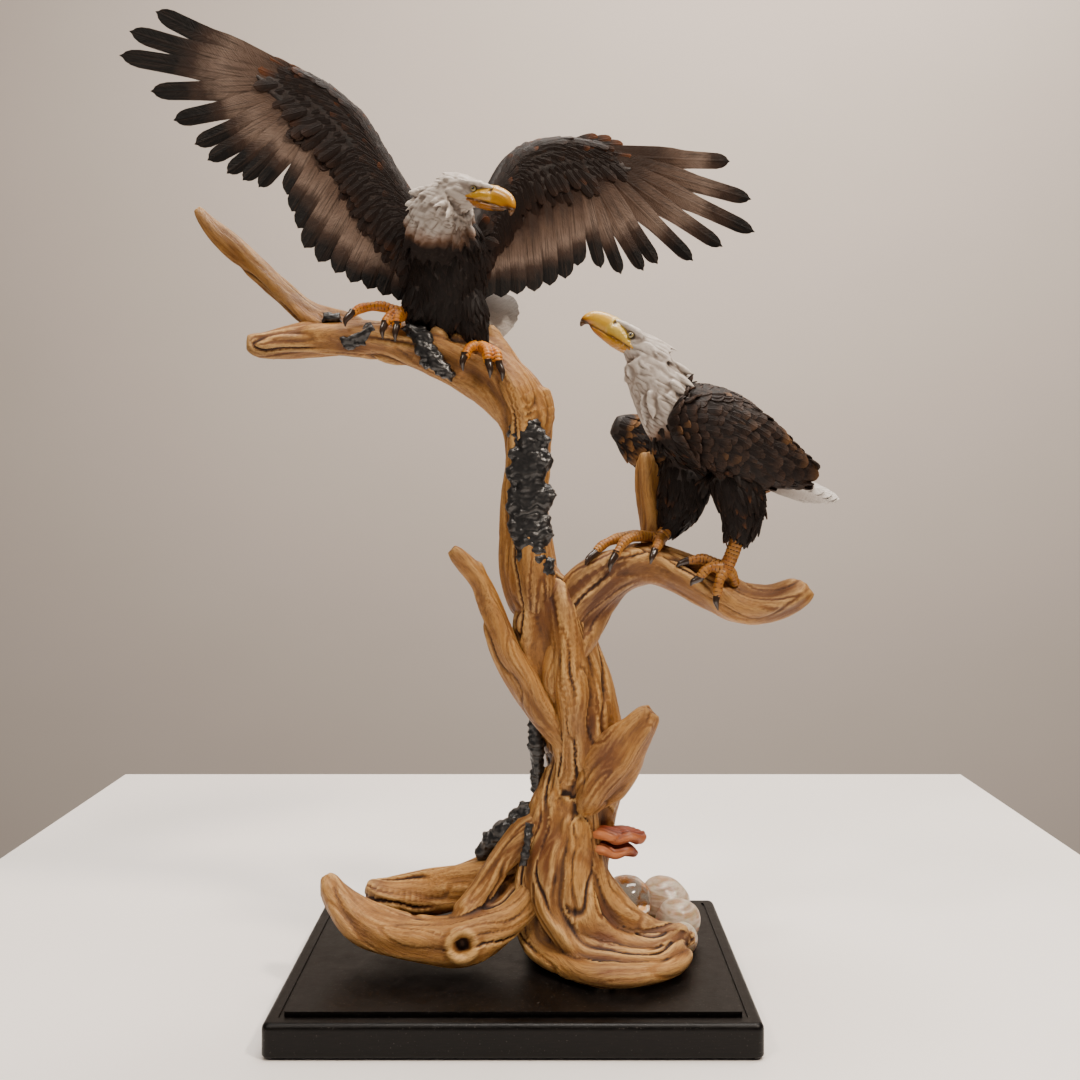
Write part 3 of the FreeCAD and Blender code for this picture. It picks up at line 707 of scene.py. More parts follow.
stub = branch(
    "driftwood_right_stub_carved", ["driftwood_right_stub"],
    [dict(stations=RIGHT_STUB, count=4, twist=0.8, seed=12, start=35)], voxel=1.1, depth=0.8, blend=8,
)
for piece in (upper, prong, right, perch, spur, stub):
    piece.data.materials.append(driftwood)

# %% [markdown]
# ## Feathers
# Every feather is a thin closed blade. A few patterns are modelled once, from a flat grid that is given
# the outline of its kind and then thickness, and are copied with their own size, direction and bend. Rows
# are laid from the tail end forwards, so that each feather covers the root of the next one.


# %% Feather patterns
def feather_pattern(name, outline, segments=6, across=2):
    """A blade along +X from 0 to 1. The outline gives (place, half width, tip bow) and thins to the tip."""
    bpy.ops.object.select_all(action="DESELECT")
    bpy.ops.mesh.primitive_grid_add(x_subdivisions=segments, y_subdivisions=across, size=2)
    blade = bpy.context.object
    blade.name = name
    places, widths = zip(*outline)
    for v in blade.data.vertices:
        t, u = 1 - (1 - (v.co.x + 1) / 2) ** 1.7, v.co.y
        bow = 0.02 * u * u * (t**3)
        v.co = (t - bow, u * float(np.interp(t, places, widths)), 0)
    apply_modifier(blade, "SOLIDIFY", thickness=1.0, offset=0.0)
    points = np.array([v.co for v in blade.data.vertices])
    points[:, 2] = np.sign(points[:, 2]) * 0.5
    faces = np.array([list(p.vertices) for p in blade.data.polygons])
    bpy.data.objects.remove(blade)
    print(name, "has", len(faces), "faces")
    return points, faces


LANCE = feather_pattern("lance", [(0, 0.55), (0.3, 1.0), (0.6, 0.8), (0.85, 0.42), (1, 0.06)], 5)
SCALE = feather_pattern(
    "scale", [(0, 0.6), (0.4, 1.0), (0.75, 0.98), (0.9, 0.80), (0.97, 0.52), (1, 0.22)], 6,
)
QUILL = feather_pattern(
    "quill", [(0, 0.7), (0.3, 1.0), (0.85, 0.97), (0.94, 0.80), (0.98, 0.50), (1, 0.22)], 9,
)
FINGER = feather_pattern(
    "finger", [(0, 0.9), (0.45, 1.0), (0.62, 0.74), (0.92, 0.66), (0.97, 0.50), (0.99, 0.32), (1, 0.14)],
    12,
)


def copies(pattern, feathers):
    """All copies as points and faces, with each point's place on its feather.

    A feather is (root, direction, face normal, length, width, thickness, bend, cup, shade).
    """
    points, faces = pattern
    n = len(feathers)
    root, direction, normal = (np.array([f[i] for f in feathers], float) for i in range(3))
    size = np.array([f[3:8] for f in feathers], float)
    shade = np.array([f[8] for f in feathers], float)
    direction = unit(direction)
    across = unit(np.cross(normal, direction))
    normal = np.cross(direction, across)
    t, u, w = points[None, :, 0], points[None, :, 1], points[None, :, 2]
    length, width, thick, bend, cup = (size[:, i, None] for i in range(5))
    rise = w * thick * (1 - 0.45 * t) + bend * length * t * t - cup * width * u * u
    co = (
        root[:, None]
        + direction[:, None] * (t * length)[..., None]
        + across[:, None] * (u * width / 2)[..., None]
        + normal[:, None] * rise[..., None]
    ).reshape(-1, 3)
    polygons = (faces[None] + (np.arange(n) * len(points))[:, None, None]).reshape(-1, 4).tolist()
    every = (n, len(points))
    values = {
        "along": np.broadcast_to(t, every).ravel(),
        "across": np.broadcast_to(u, every).ravel(),
        "shade": np.broadcast_to(shade[:, None], every).ravel(),
        "pick": np.broadcast_to(np.random.default_rng(3).random((n, 1)), every).ravel(),
        "barb": np.stack([(t * length).ravel(), (u * width / 2).ravel(), co[:, 0] * 0], 1),
    }
    return co, polygons, values


def plume(name, pattern, feathers, mat, replaced=()):
    """One piece from many copies of a pattern."""
    co, polygons, values = copies(pattern, feathers)
    piece = new_piece(name, [(co, polygons)])
    for key, numbers in values.items():
        record_value(piece, key, numbers)
    select_only(piece)
    bpy.ops.object.shade_smooth_by_angle(angle=math.radians(50))
    piece.data.materials.append(mat)
    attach(piece, "root")
    if replaced:
        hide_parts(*replaced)
    print(name, len(feathers), "feathers")
    return piece


# %% [markdown]
# ## Feathers on a body
# A body is melted from oval tubes like the tree. Rows of feathers are then laid along each tube. A ray is
# shot inwards at each place: where it meets this body near the expected height a feather is set on the
# surface, and where another part of the body lies over the place none is.


# %% Laying feathers over a body
def body_tree(piece):
    co = [Vector(p) for p in points_of(piece)]
    return BVHTree.FromPolygons(co, [tuple(p.vertices) for p in piece.data.polygons])


def lay(
    tree, stations, size, gap=0.5, first=0.0, last=1.0, tilt=0.16, lift=-0.3, seed=0, keep=None,
    shade=None, ragged=0.12,
):
    """Feathers over a tube from its first station on. size(t) gives (length, width, thickness)."""
    rng = np.random.default_rng(seed)
    path = smooth_path(stations, 2.0)
    along, _, _, length = frames(path)
    up = unit(np.array([0, 1.0, 0]) - along * along[:, 1:2])
    side = np.cross(up, along)
    out = []
    place_along, row = first * length[-1], 0
    while place_along < last * length[-1]:
        t = place_along / length[-1]
        i = int(np.searchsorted(length, place_along).clip(0, len(path) - 1))
        long, wide, thick = size(t)
        a, b = path[i, 3], path[i, -1]
        around = 2 * np.pi * math.sqrt((a * a + b * b) / 2)
        count = max(5, int(around / (wide * 0.62)))
        for k in range(count):
            angle = 2 * np.pi * (k + 0.5 * (row % 2) + rng.uniform(-0.15, 0.15)) / count
            out_way = unit(side[i] * np.cos(angle) / a + up[i] * np.sin(angle) / b)
            here = path[i, :3] + side[i] * np.cos(angle) * a + up[i] * np.sin(angle) * b
            here = here + along[i] * rng.uniform(-0.15, 0.15) * long
            hit, normal, _, _ = tree.ray_cast(Vector(here + out_way * 14), Vector(-out_way), 26)
            if hit is None or (np.array(hit) - here) @ out_way > 4.5:
                continue
            hit, normal = np.array(hit), np.array(normal)
            if keep is not None and not keep(hit):
                continue
            way = unit(along[i] - normal * (along[i] @ normal))
            way = unit(way + normal * (tilt + rng.uniform(-0.04, 0.06)))
            way = unit(way + np.cross(normal, way) * rng.uniform(-ragged, ragged))
            scale = rng.uniform(0.85, 1.15)
            width = wide * rng.uniform(0.9, 1.1)
            tone = shade(t, hit) if shade else rng.random()
            out.append((
                hit + normal * lift, way, normal, long * scale, width, thick, -tilt * 0.9, 0.16, tone,
            ))
        place_along += long * gap
        row += 1
    return out


def melted_body(name, tubes, voxel, mat, replaced=(), blend=6, sides=18):
    """A smooth closed body from oval tubes."""
    piece = melt(name, [tube(smooth_path(s), sides) for s in tubes], voxel)
    move_points(piece, relax(points_of(piece), edges_of(piece), blend))
    piece.data.materials.append(mat)
    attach(piece, "root")
    if replaced:
        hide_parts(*replaced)
    print(name, len(piece.data.polygons), "faces")
    return piece


# %% [markdown]
# ## Feather finishes
# The feathers are painted the way a figure painter does it: a dark base coat, a paler brush over the tips
# and edges, and fine barbs and a raised shaft from bump. The spread wings fade from dark brown coverts
# through a beige band to black fingertips.


# %% Feather finishes
def barbs_and_shaft(mat, bsdf, distance):
    """Slanting barbs on both sides of a raised shaft."""
    barb = node(mat, "ShaderNodeSeparateXYZ", {0: attribute(mat, "barb", "Vector")}).outputs
    slant = maths(mat, "SUBTRACT", barb[0], maths(mat, "MULTIPLY", maths(mat, "ABSOLUTE", barb[1]), 1.3))
    spot = node(
        mat, "ShaderNodeCombineXYZ",
        {0: slant, 1: maths(mat, "MULTIPLY", barb[1], 0.12), 2: attribute(mat, "pick")},
    )
    ribs = noise(mat, spot.outputs[0], 1.5, detail=2.0, roughness=0.6)
    shaft = maths(
        mat, "SUBTRACT", 1.0, span(mat, maths(mat, "ABSOLUTE", attribute(mat, "across")), 0.0, 0.14),
    )
    bump(mat, bsdf, maths(mat, "ADD", ribs, maths(mat, "MULTIPLY", shaft, 0.4)), distance, 0.9)
    return ribs


def plumage(name, base, edge, glow, edge_from=0.62, roughness=0.5):
    """Small body feathers: base colour, edge colour at the tips, and a warm glow on some of them."""
    mat, bsdf = material(name, roughness=roughness, Specular_IOR_Level=0.2)
    ribs = barbs_and_shaft(mat, bsdf, 0.0004)
    tip = span(mat, attribute(mat, "along"), edge_from, 1.0)
    rim = span(mat, maths(mat, "ABSOLUTE", attribute(mat, "across")), 0.55, 1.0)
    worn = maths(
        mat, "MULTIPLY", maths(mat, "MAXIMUM", tip, maths(mat, "MULTIPLY", rim, 0.55)),
        span(mat, ribs, 0.35, 0.65, 0.35, 1.0),
    )
    colour = mix(
        mat, maths(mat, "MULTIPLY", worn, span(mat, attribute(mat, "pick"), 0.0, 1.0, 0.25, 0.95)), base,
        edge,
    )
    colour = mix(
        mat,
        maths(
            mat, "MULTIPLY", span(mat, attribute(mat, "shade"), 0.72, 1.0),
            maths(mat, "MULTIPLY", tip, 0.85),
        ),
        colour, glow,
    )
    paint(mat, bsdf, colour, span(mat, ribs, 0.3, 0.7, roughness - 0.08, roughness + 0.15))
    return mat


dark_plumage = plumage(
    "dark_plumage", (0.0065, 0.0036, 0.0028), (0.028, 0.0145, 0.0095), (0.12, 0.042, 0.012),
)
mantle_plumage = plumage(
    "mantle_plumage", (0.0085, 0.0045, 0.0036), (0.075, 0.041, 0.027), (0.27, 0.125, 0.038), 0.5,
)
covert_plumage = plumage(
    "covert_plumage", (0.0085, 0.0038, 0.0024), (0.042, 0.018, 0.0095), (0.16, 0.048, 0.011), 0.5,
)

under_dark, bsdf = material("dark_undercoat", roughness=0.6)
paint(
    under_dark, bsdf,
    ramp(
        under_dark, noise(under_dark, place(under_dark), 160.0),
        [(0.35, (0.007, 0.0038, 0.0028)), (0.7, (0.022, 0.011, 0.007))],
    ),
)
bump(under_dark, bsdf, noise(under_dark, place(under_dark), 420.0, detail=3.0), 0.0006, 0.8)

print("body feather finishes ready")

# %% [markdown]
# ## Flight feathers and white plumage
# A flight feather changes colour along its length: brown at the root, a beige band, then black. Noise moves
# the change to and fro, so that the band doesn't end in a line. White plumage is darker towards its root.

# %% Flight feathers and white plumage
flight, bsdf = material("flight_feathers", roughness=0.5, Specular_IOR_Level=0.18)
ribs = barbs_and_shaft(flight, bsdf, 0.0004)
smoke = noise(flight, place(flight), 60.0, detail=5.0, roughness=0.65)
fade = maths(
    flight, "ADD", attribute(flight, "along"),
    maths(flight, "MULTIPLY", maths(flight, "SUBTRACT", smoke, 0.5), 0.30),
)
fade = maths(flight, "ADD", fade, attribute(flight, "shade"))
colour = ramp(flight, fade, [
    (0.14, (0.030, 0.014, 0.008)), (0.34, (0.105, 0.064, 0.045)), (0.54, (0.185, 0.128, 0.098)),
    (0.67, (0.044, 0.025, 0.018)), (0.80, (0.0048, 0.0042, 0.0042)),
])
barb = node(flight, "ShaderNodeSeparateXYZ", {0: attribute(flight, "barb", "Vector")}).outputs
line = node(
    flight, "ShaderNodeCombineXYZ",
    {
        0: maths(flight, "MULTIPLY", barb[0], 0.035), 1: barb[1],
        2: maths(flight, "MULTIPLY", attribute(flight, "pick"), 60.0),
    },
)
streak = noise(flight, line.outputs[0], 1.1, detail=3.0, roughness=0.6)
colour = mix(flight, span(flight, streak, 0.50, 0.66, 0.0, 0.75), colour, (0.030, 0.019, 0.014))
colour = mix(flight, span(flight, ribs, 0.5, 0.75, 0.0, 0.4), colour, (0.02, 0.013, 0.010))
paint(flight, bsdf, colour)

white, bsdf = material("white_plumage", roughness=0.5, Specular_IOR_Level=0.4)
ribs = barbs_and_shaft(white, bsdf, 0.0004)
colour = mix(
    white, span(white, attribute(white, "along"), 0.95, 0.25, 0.0, 0.8), (0.62, 0.585, 0.55),
    (0.22, 0.18, 0.155),
)
colour = mix(white, span(white, ribs, 0.45, 0.7, 0.0, 0.5), colour, (0.24, 0.195, 0.165))
colour = mix(white, span(white, attribute(white, "shade"), 0.55, 1.0), colour, (0.30, 0.165, 0.085))
paint(white, bsdf, colour)

white_skin, bsdf = material("white_skin", roughness=0.45, Specular_IOR_Level=0.35)
near, wide = attribute(white_skin, "crease"), attribute(white_skin, "hollow")
strand = noise(white_skin, place(white_skin), 420.0, detail=4.0)
# painted shade: the white goes grey-brown in broad hollows and darker still in the folds between locks
colour = mix(white_skin, span(white_skin, wide, -0.7, 0.6), (0.60, 0.545, 0.495), (0.19, 0.145, 0.115))
colour = mix(white_skin, span(white_skin, near, -0.02, 0.20, 0.0, 0.7), colour, (0.10, 0.070, 0.052))
colour = mix(white_skin, span(white_skin, strand, 0.5, 0.75, 0.0, 0.4), colour, (0.26, 0.21, 0.175))
colour = mix(
    white_skin, span(white_skin, attribute(white_skin, "stain"), 0.0, 1.0), colour, (0.17, 0.125, 0.085),
)
colour = mix(
    white_skin, span(white_skin, attribute(white_skin, "hem"), 17.0, 8.0, 0.0, 0.9), colour,
    (0.15, 0.060, 0.020),
)
colour = mix(
    white_skin, span(white_skin, attribute(white_skin, "hem"), 11.0, 3.0), colour,
    (0.010, 0.005, 0.0035),
)
paint(white_skin, bsdf, colour, span(white_skin, attribute(white_skin, "hem"), 12.0, 4.0, 0.45, 0.85))
bump(white_skin, bsdf, strand, 0.0003, 0.5)
print("flight and white finishes ready")

# %% [markdown]
# ## The spread wings
# A wing stands in an upright plane that is swept back a little. Long finger-shaped primaries fan out of
# the hand, shorter secondaries hang from the forearm, and rows of coverts hide their roots on both faces.


# %% Spread wings
BIRD_CENTRE = (-47.0, -5.0)


def wing_plane(sweep):
    """Turns (x, z) places of a wing's plane into space, and gives the plane's front."""
    turn = math.radians(sweep)

    def at(x, z, forward=0.0):
        y = BIRD_CENTRE[1] + math.tan(turn) * (x - BIRD_CENTRE[0])
        return np.array([x, y, z]) + forward * np.array([math.sin(turn), -math.cos(turn), 0])

    return at, np.array([math.sin(turn), -math.cos(turn), 0])


def between(start, end, count):
    return [np.array(start) + (np.array(end) - np.array(start)) * k / (count - 1) for k in range(count)]


PRIMARY_WIDTH, SECONDARY_WIDTH, QUILL_THICKNESS = 17.5, 15.5, 2.6
COVERT_THICKNESS, COVERT_SINK = 1.3, 0.4
ARM_STEP = 2.0  # millimetres between the places along the arm where coverts can start
COVERT_ROWS = [  # how far behind the leading edge, length and width, from the flight feathers forwards
    (25, 17, 7.5), (20, 16, 7.5), (15, 14, 7), (10, 13, 6.5), (5.5, 12, 6), (1.5, 11, 5.5), (-2, 10, 5),
    (-5, 9, 5),
]


def spread_wing(
    name, node_name, sweep, bones, hand, arm, primaries, secondaries, tuft, first_dark, seed,
):
    """Arm, flight feathers and coverts of one wing."""
    at, front = wing_plane(sweep)
    rng = np.random.default_rng(seed)
    mirror = 1 if primaries[0][0] < BIRD_CENTRE[0] else -1
    # flight feathers, each turned a little about its shaft so that it overlaps the next
    quills, fingers = [], []
    roots = between(*hand, len(primaries))
    for i, (root, tip) in enumerate(zip(roots, primaries)):
        start, end = at(*root, forward=0.6 - 0.12 * i), at(*tip)
        lean = unit(end - start)
        normal = front + np.cross(front, lean) * 0.13 * mirror
        share = i / (len(primaries) - 1)
        dark = first_dark * (1 - share) ** 2 + 0.03 * (i % 3) - 0.03
        fingers.append((
            start, lean, normal, np.linalg.norm(end - start), PRIMARY_WIDTH - 3 * share, QUILL_THICKNESS,
            0.0, 0.05, dark,
        ))
    roots = between(*arm, len(secondaries))
    for i, (root, tip) in enumerate(zip(roots, secondaries)):
        start, end = at(*root, forward=-0.4), at(*tip)
        lean = unit(end - start)
        normal = front + np.cross(front, lean) * 0.12 * mirror
        quills.append((
            start, lean, normal, np.linalg.norm(end - start), SECONDARY_WIDTH, QUILL_THICKNESS, 0.0,
            0.05, rng.uniform(-0.10, 0.0),
        ))
    plume(name + "_primaries", FINGER, fingers, flight, [node_name])
    plume(name + "_secondaries", QUILL, quills, flight, [node_name])
    # the arm under the coverts
    edge = smooth_path([(*at(x, z), r) for x, z, r in bones], ARM_STEP)
    flights = []
    for spread, tips in ((arm, secondaries), (hand, primaries)):
        pairs = zip(between(*spread, len(tips)), tips)
        flights += [unit(np.array(at(*tip)) - np.array(at(*root))) for root, tip in pairs][::-1]
    flights = np.array(flights)
    n = len(edge)
    q = np.linspace(0, len(flights) - 4, n)
    lean = unit(np.stack([np.interp(q, np.arange(len(flights)), flights[:, k]) for k in range(3)], 1))
    webs = [edge]
    for step in (7, 14, 21, 28):
        web = edge.copy()
        web[:, :3] += lean * step
        web[:, 3] = np.maximum(edge[:, 3] - 0.13 * step, 2.6)
        webs.append(web)
    arm_piece = melt(name + "_arm", [tube(web, 14) for web in webs], 1.6)
    move_points(arm_piece, relax(points_of(arm_piece), edges_of(arm_piece), 5))
    arm_piece.data.materials.append(under_dark)
    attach(arm_piece, "root")
    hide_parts(node_name)
    # coverts on both faces
    tree = body_tree(arm_piece)
    run = unit(np.gradient(edge[:, :3], axis=0))
    coverts = []
    for face in (1, -1):
        for row, (offset, long, wide) in enumerate(COVERT_ROWS):
            place_along = ARM_STEP
            reach = 0.80 if offset > 20 else 1.0
            while place_along < (n - 2) * ARM_STEP * reach:
                i = min(int(place_along / ARM_STEP), n - 1)
                spot = edge[i, :3] + lean[i] * offset
                hit, normal, _, _ = tree.ray_cast(
                    Vector(spot + front * face * 20), Vector(-front * face), 30,
                )
                place_along += wide * 0.62
                if hit is None:
                    continue
                hit, normal = np.array(hit), np.array(normal)
                weight = 0.10 + 0.14 * row
                way = unit(lean[i] * (1 - weight) + run[i] * weight)
                sway = np.cross(normal, way) * rng.uniform(-0.16, 0.16)
                way = unit(way - normal * (way @ normal) + normal * 0.10 + sway)
                warm = 0.62 * rng.random() + 0.34 * float(cloud(spot[None] / 16)[0])
                warm += 0.14 if row > 4 else 0
                coverts.append((
                    hit - normal * COVERT_SINK, way, normal, long * rng.uniform(0.85, 1.15), wide,
                    COVERT_THICKNESS, -0.10, 0.14, warm,
                ))
    for x, z, lean_x, lean_z, long in tuft:
        for face in (1.5, -1.5):
            coverts.append((
                at(x, z, face), np.array(at(x + lean_x, z + lean_z)) - at(x, z), front, long, 7.5, 1.8,
                0.0, 0.1, 0.95,
            ))
    plume(name + "_coverts", SCALE, coverts, covert_plumage, [node_name])


spread_wing(
    "upper_bird_left_wing", "upper_bird_left_wing", 10.0,
    bones=[
        (-62, 514, 9), (-76, 536, 8), (-92, 562, 7.5), (-106, 586, 6.5), (-124, 603, 5.5),
        (-144, 615, 4.5),
    ],
    hand=((-150, 612), (-128, 592)), arm=((-124, 586), (-66, 512)),
    primaries=[
        (-234, 650), (-250, 636), (-256, 620), (-237, 598), (-223, 580), (-210, 565), (-202, 555),
        (-190, 547), (-180, 543), (-170, 539),
    ],
    secondaries=[
        (-152, 535), (-149, 524), (-145, 513), (-141, 500), (-132, 491), (-121, 484), (-111, 478),
        (-100, 474), (-90, 470), (-80, 467),
    ],
    tuft=[
        (-140, 612, -22, 12, 26), (-132, 608, -20, 12, 24), (-124, 603, -18, 13, 22),
        (-146, 608, -22, 8, 26),
    ],
    first_dark=0.10, seed=31,
)
spread_wing(
    "upper_bird_right_wing", "upper_bird_right_wing", 24.0,
    bones=[(-30, 516, 9), (-16, 544, 8), (-4, 566, 7.5), (13, 579, 6.5), (36, 586, 5.5), (60, 587, 4.5)],
    hand=((68, 582), (42, 566)), arm=((38, 562), (-24, 514)),
    primaries=[
        (161, 591), (179, 564), (182, 539), (155, 525), (131, 512), (103, 507), (92, 501), (75, 497),
        (60, 500),
    ],
    secondaries=[(43, 500), (34, 490), (23, 484), (12, 479), (0, 476), (-11, 473), (-21, 472)],
    tuft=[(54, 588, 24, 4, 24), (46, 588, 22, 7, 24), (38, 587, 20, 8, 22), (60, 584, 24, 0, 24)],
    first_dark=-0.16, seed=32,
)

# %% [markdown]
# ## Heads
# Both heads come from one model, built facing along +X and then turned and scaled into place: skull, brows,
# cheeks and throat are melted together, sunk where the eyes sit, and dressed with white locks that grow
# longer down the neck. The beak is a lofted hook with a cere, a lower mandible and yellow gape flanges.


# %% Placing a head
class HeadPlace:
    """Turns places of the head model (x forward, y to one side, z up) into space."""

    def __init__(self, origin, heading, pitch, scale):
        h, p = math.radians(heading), math.radians(pitch)
        forward = np.array([math.cos(p) * math.cos(h), math.cos(p) * math.sin(h), math.sin(p)])
        side = np.array([math.sin(h), -math.cos(h), 0.0])
        self.origin, self.scale = np.array(origin, float), scale
        self.axes = np.stack([forward, side, np.cross(forward, -side)])

    def out(self, p):
        return self.origin + (np.asarray(p, float) * self.scale) @ self.axes

    def back(self, p):
        return (np.asarray(p, float) - self.origin) @ self.axes.T / self.scale

    def lump(self, stations, sides=16):
        points, faces = tube(smooth_path(stations, 1.5), sides)
        return self.out(points), faces


def mirrored(stations):
    """The same stations on both sides of the head."""
    return [stations, [(s[0], -s[1], *s[2:]) for s in stations]]


UPPER_PLACE = HeadPlace((-22, -54.5, 528.5), -33, -21, 0.86)
LOWER_PLACE = HeadPlace((77, -12, 441.7), 180, 30.5, 1.0)

EYE_PLACE = (0.6, 8.4, 0.0)
SKULL = [
    [(-26, 0, -5, 14), (-13, 0, -3.5, 12.6), (-3, 0, -2.2, 9.8), (5, 0, -0.6, 7.2), (10, 0, 0.4, 4.6)],
    [(-5, 0, -9.0, 5), (-11, 0, -11.5, 6.5), (-20, 0, -14, 9)],
]
BROW = [
    (-7, 8.6, 2.6, 2.6), (0, 8.8, 3.9, 2.5), (6, 7.0, 4.6, 2.3), (11.5, 4.6, 4.4, 1.9),
    (15, 2.6, 3.6, 1.4),
]
CHEEK = [(-18, 6, -7, 8), (-10, 5.4, -7.2, 6.0), (-4, 4.6, -6.0, 4.4)]
UPPER_MANDIBLE = [
    (0, 0, -2.4, 6.0, 7.4), (8, 0, -0.9, 7.0, 7.0), (16, 0, -0.2, 7.2, 6.2), (22.5, 0, -0.4, 6.6, 5.2),
    (28, 0, -1.6, 5.4, 4.3), (31.6, 0, -4.2, 3.8, 3.3), (33.0, 0, -7.4, 2.2, 2.1),
    (32.8, 0, -10.6, 0.7, 0.8),
]
LOWER_MANDIBLE = [
    (-4, 0, -7.8, 3.4, 7.2), (6, 0, -8.2, 3.8, 6.6), (16, 0, -7.6, 3.2, 4.8), (23, 0, -6.8, 2.6, 3.8),
    (27.5, 0, -5.8, 1.5, 2.4),
]
GAPE = [
    (-9, 7.4, -8.0, 1.2), (-4, 7.2, -6.8, 2.6), (2, 5.9, -4.8, 4.0), (8, 4.3, -2.6, 4.8),
    (14, 3.2, -1.6, 4.2),
]


# %% [markdown]
# ## Beaks and eyes
# The beak is modelled as lofted lumps: a hooked upper half, a lower half, and yellow flanges that run
# back under the eye. Melting keeps them one piece of horn. The mouth line and the nostrils are then cut
# by where a point lies when seen from the side. The eyes are spheres, painted by how far each point
# looks outwards, which gives the pupil, the iris and the dark rim.

# %% Beaks and eyes
beak_skin, bsdf = material("beak_paint", roughness=0.32, Coat_Weight=0.25, Coat_Roughness=0.2)
worn = noise(beak_skin, place(beak_skin), 260.0, detail=4.0)
colour = ramp(
    beak_skin, attribute(beak_skin, "tint"),
    [
        (0.0, (0.56, 0.385, 0.060)), (0.35, (0.56, 0.285, 0.006)), (0.75, (0.36, 0.125, 0.002)),
        (1.0, (0.09, 0.035, 0.005)),
    ],
)
colour = mix(beak_skin, attribute(beak_skin, "cut"), colour, (0.035, 0.012, 0.004))
colour = mix(beak_skin, span(beak_skin, worn, 0.5, 0.75, 0.0, 0.35), colour, (0.40, 0.15, 0.006))
paint(beak_skin, bsdf, colour)
bump(beak_skin, bsdf, worn, 0.0003, 0.4)

eye_paint, bsdf = material("eye_gloss", roughness=0.12, Coat_Weight=1.0, Coat_Roughness=0.03)
colour = ramp(
    eye_paint, attribute(eye_paint, "gaze"),
    [
        (0.0, (0.03, 0.022, 0.015)), (0.42, (0.05, 0.038, 0.02)), (0.55, (0.30, 0.245, 0.10)),
        (0.84, (0.36, 0.27, 0.09)), (0.90, (0.010, 0.008, 0.006)), (1.0, (0.006, 0.005, 0.005)),
    ],
)
paint(eye_paint, bsdf, colour)


def make_beak(name, node_name, spot, warmth):
    """Hooked beak with cere, gape flanges, nostrils and a mouth line."""
    parts = [
        spot.lump(UPPER_MANDIBLE), spot.lump(LOWER_MANDIBLE),
    ] + [spot.lump(g, 10) for g in mirrored(GAPE)]
    piece = melt(name, parts, 0.55 * spot.scale)
    edges = edges_of(piece)
    co, normals = relax(points_of(piece), edges, 3), normals_of(piece)
    local = spot.back(co)
    mouth_height = np.interp(local[:, 0], [-9, 4, 12, 20, 28], [-8.2, -7.4, -6.6, -6.4, -6.8])
    mouth = furrow(np.abs(local[:, 2] - mouth_height), 0.75) * ease((np.abs(local[:, 1]) - 0.5) / 1.5)
    from_nostril = np.hypot(local[:, 0] - 14.0, (local[:, 2] - 2.6) / 1.5)
    nostril = furrow(from_nostril, 1.25) * ease(np.abs(local[:, 1]) - 2)
    cere = ease((17.0 - local[:, 0]) / 1.6) * ease((local[:, 2] + 4.5) / 3)
    wrinkle = ridged(local * np.array([0.8, 0.5, 0.8])) * ease((14 - local[:, 0]) / 6)
    crease = 0.3 * furrow(wrinkle, 0.2)
    height = 0.45 * cere - 0.9 * mouth - 1.3 * nostril - crease * ease((12 - local[:, 0]) / 4)
    move_points(piece, co + normals * (height * spot.scale)[:, None])
    tip = ease((local[:, 0] - 24) / 7) * ease((-local[:, 2] - 1) / 7)
    low = ease((-local[:, 2] - 3) / 7) * 0.55
    record_value(
        piece, "tint", np.clip(warmth + low + 0.62 * tip + 0.22 * ease((local[:, 0] - 15) / 4), 0, 1),
    )
    record_value(piece, "cut", np.clip(np.maximum(0.85 * mouth, 1.25 * nostril), 0, 1))
    piece.data.materials.append(beak_skin)
    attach(piece, "root")
    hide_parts(node_name)
    print(name, len(piece.data.polygons), "faces")


def make_eyes(name, node_name, spot, radius=2.35):
    """Two glossy balls; each keeps how far it looks outwards, for iris and pupil."""
    lumps, gaze = [], []
    for sign in (1, -1):
        look = unit(np.array([0.28, sign, 0.12]))
        centre = np.array([EYE_PLACE[0], sign * EYE_PLACE[1], EYE_PLACE[2]])
        bpy.ops.object.select_all(action="DESELECT")
        bpy.ops.mesh.primitive_uv_sphere_add(segments=32, ring_count=24, radius=1)
        ball = bpy.context.object
        points = np.array([v.co for v in ball.data.vertices])
        polygons = [list(p.vertices) for p in ball.data.polygons]
        bpy.data.objects.remove(ball)
        lumps.append((spot.out(centre + points * radius), polygons))
        gaze.append(points @ look)
    piece = new_piece(name, lumps)
    record_value(piece, "gaze", np.clip(np.concatenate(gaze), 0, 1))
    select_only(piece)
    bpy.ops.object.shade_smooth()
    piece.data.materials.append(eye_paint)
    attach(piece, "root")
    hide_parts(node_name)
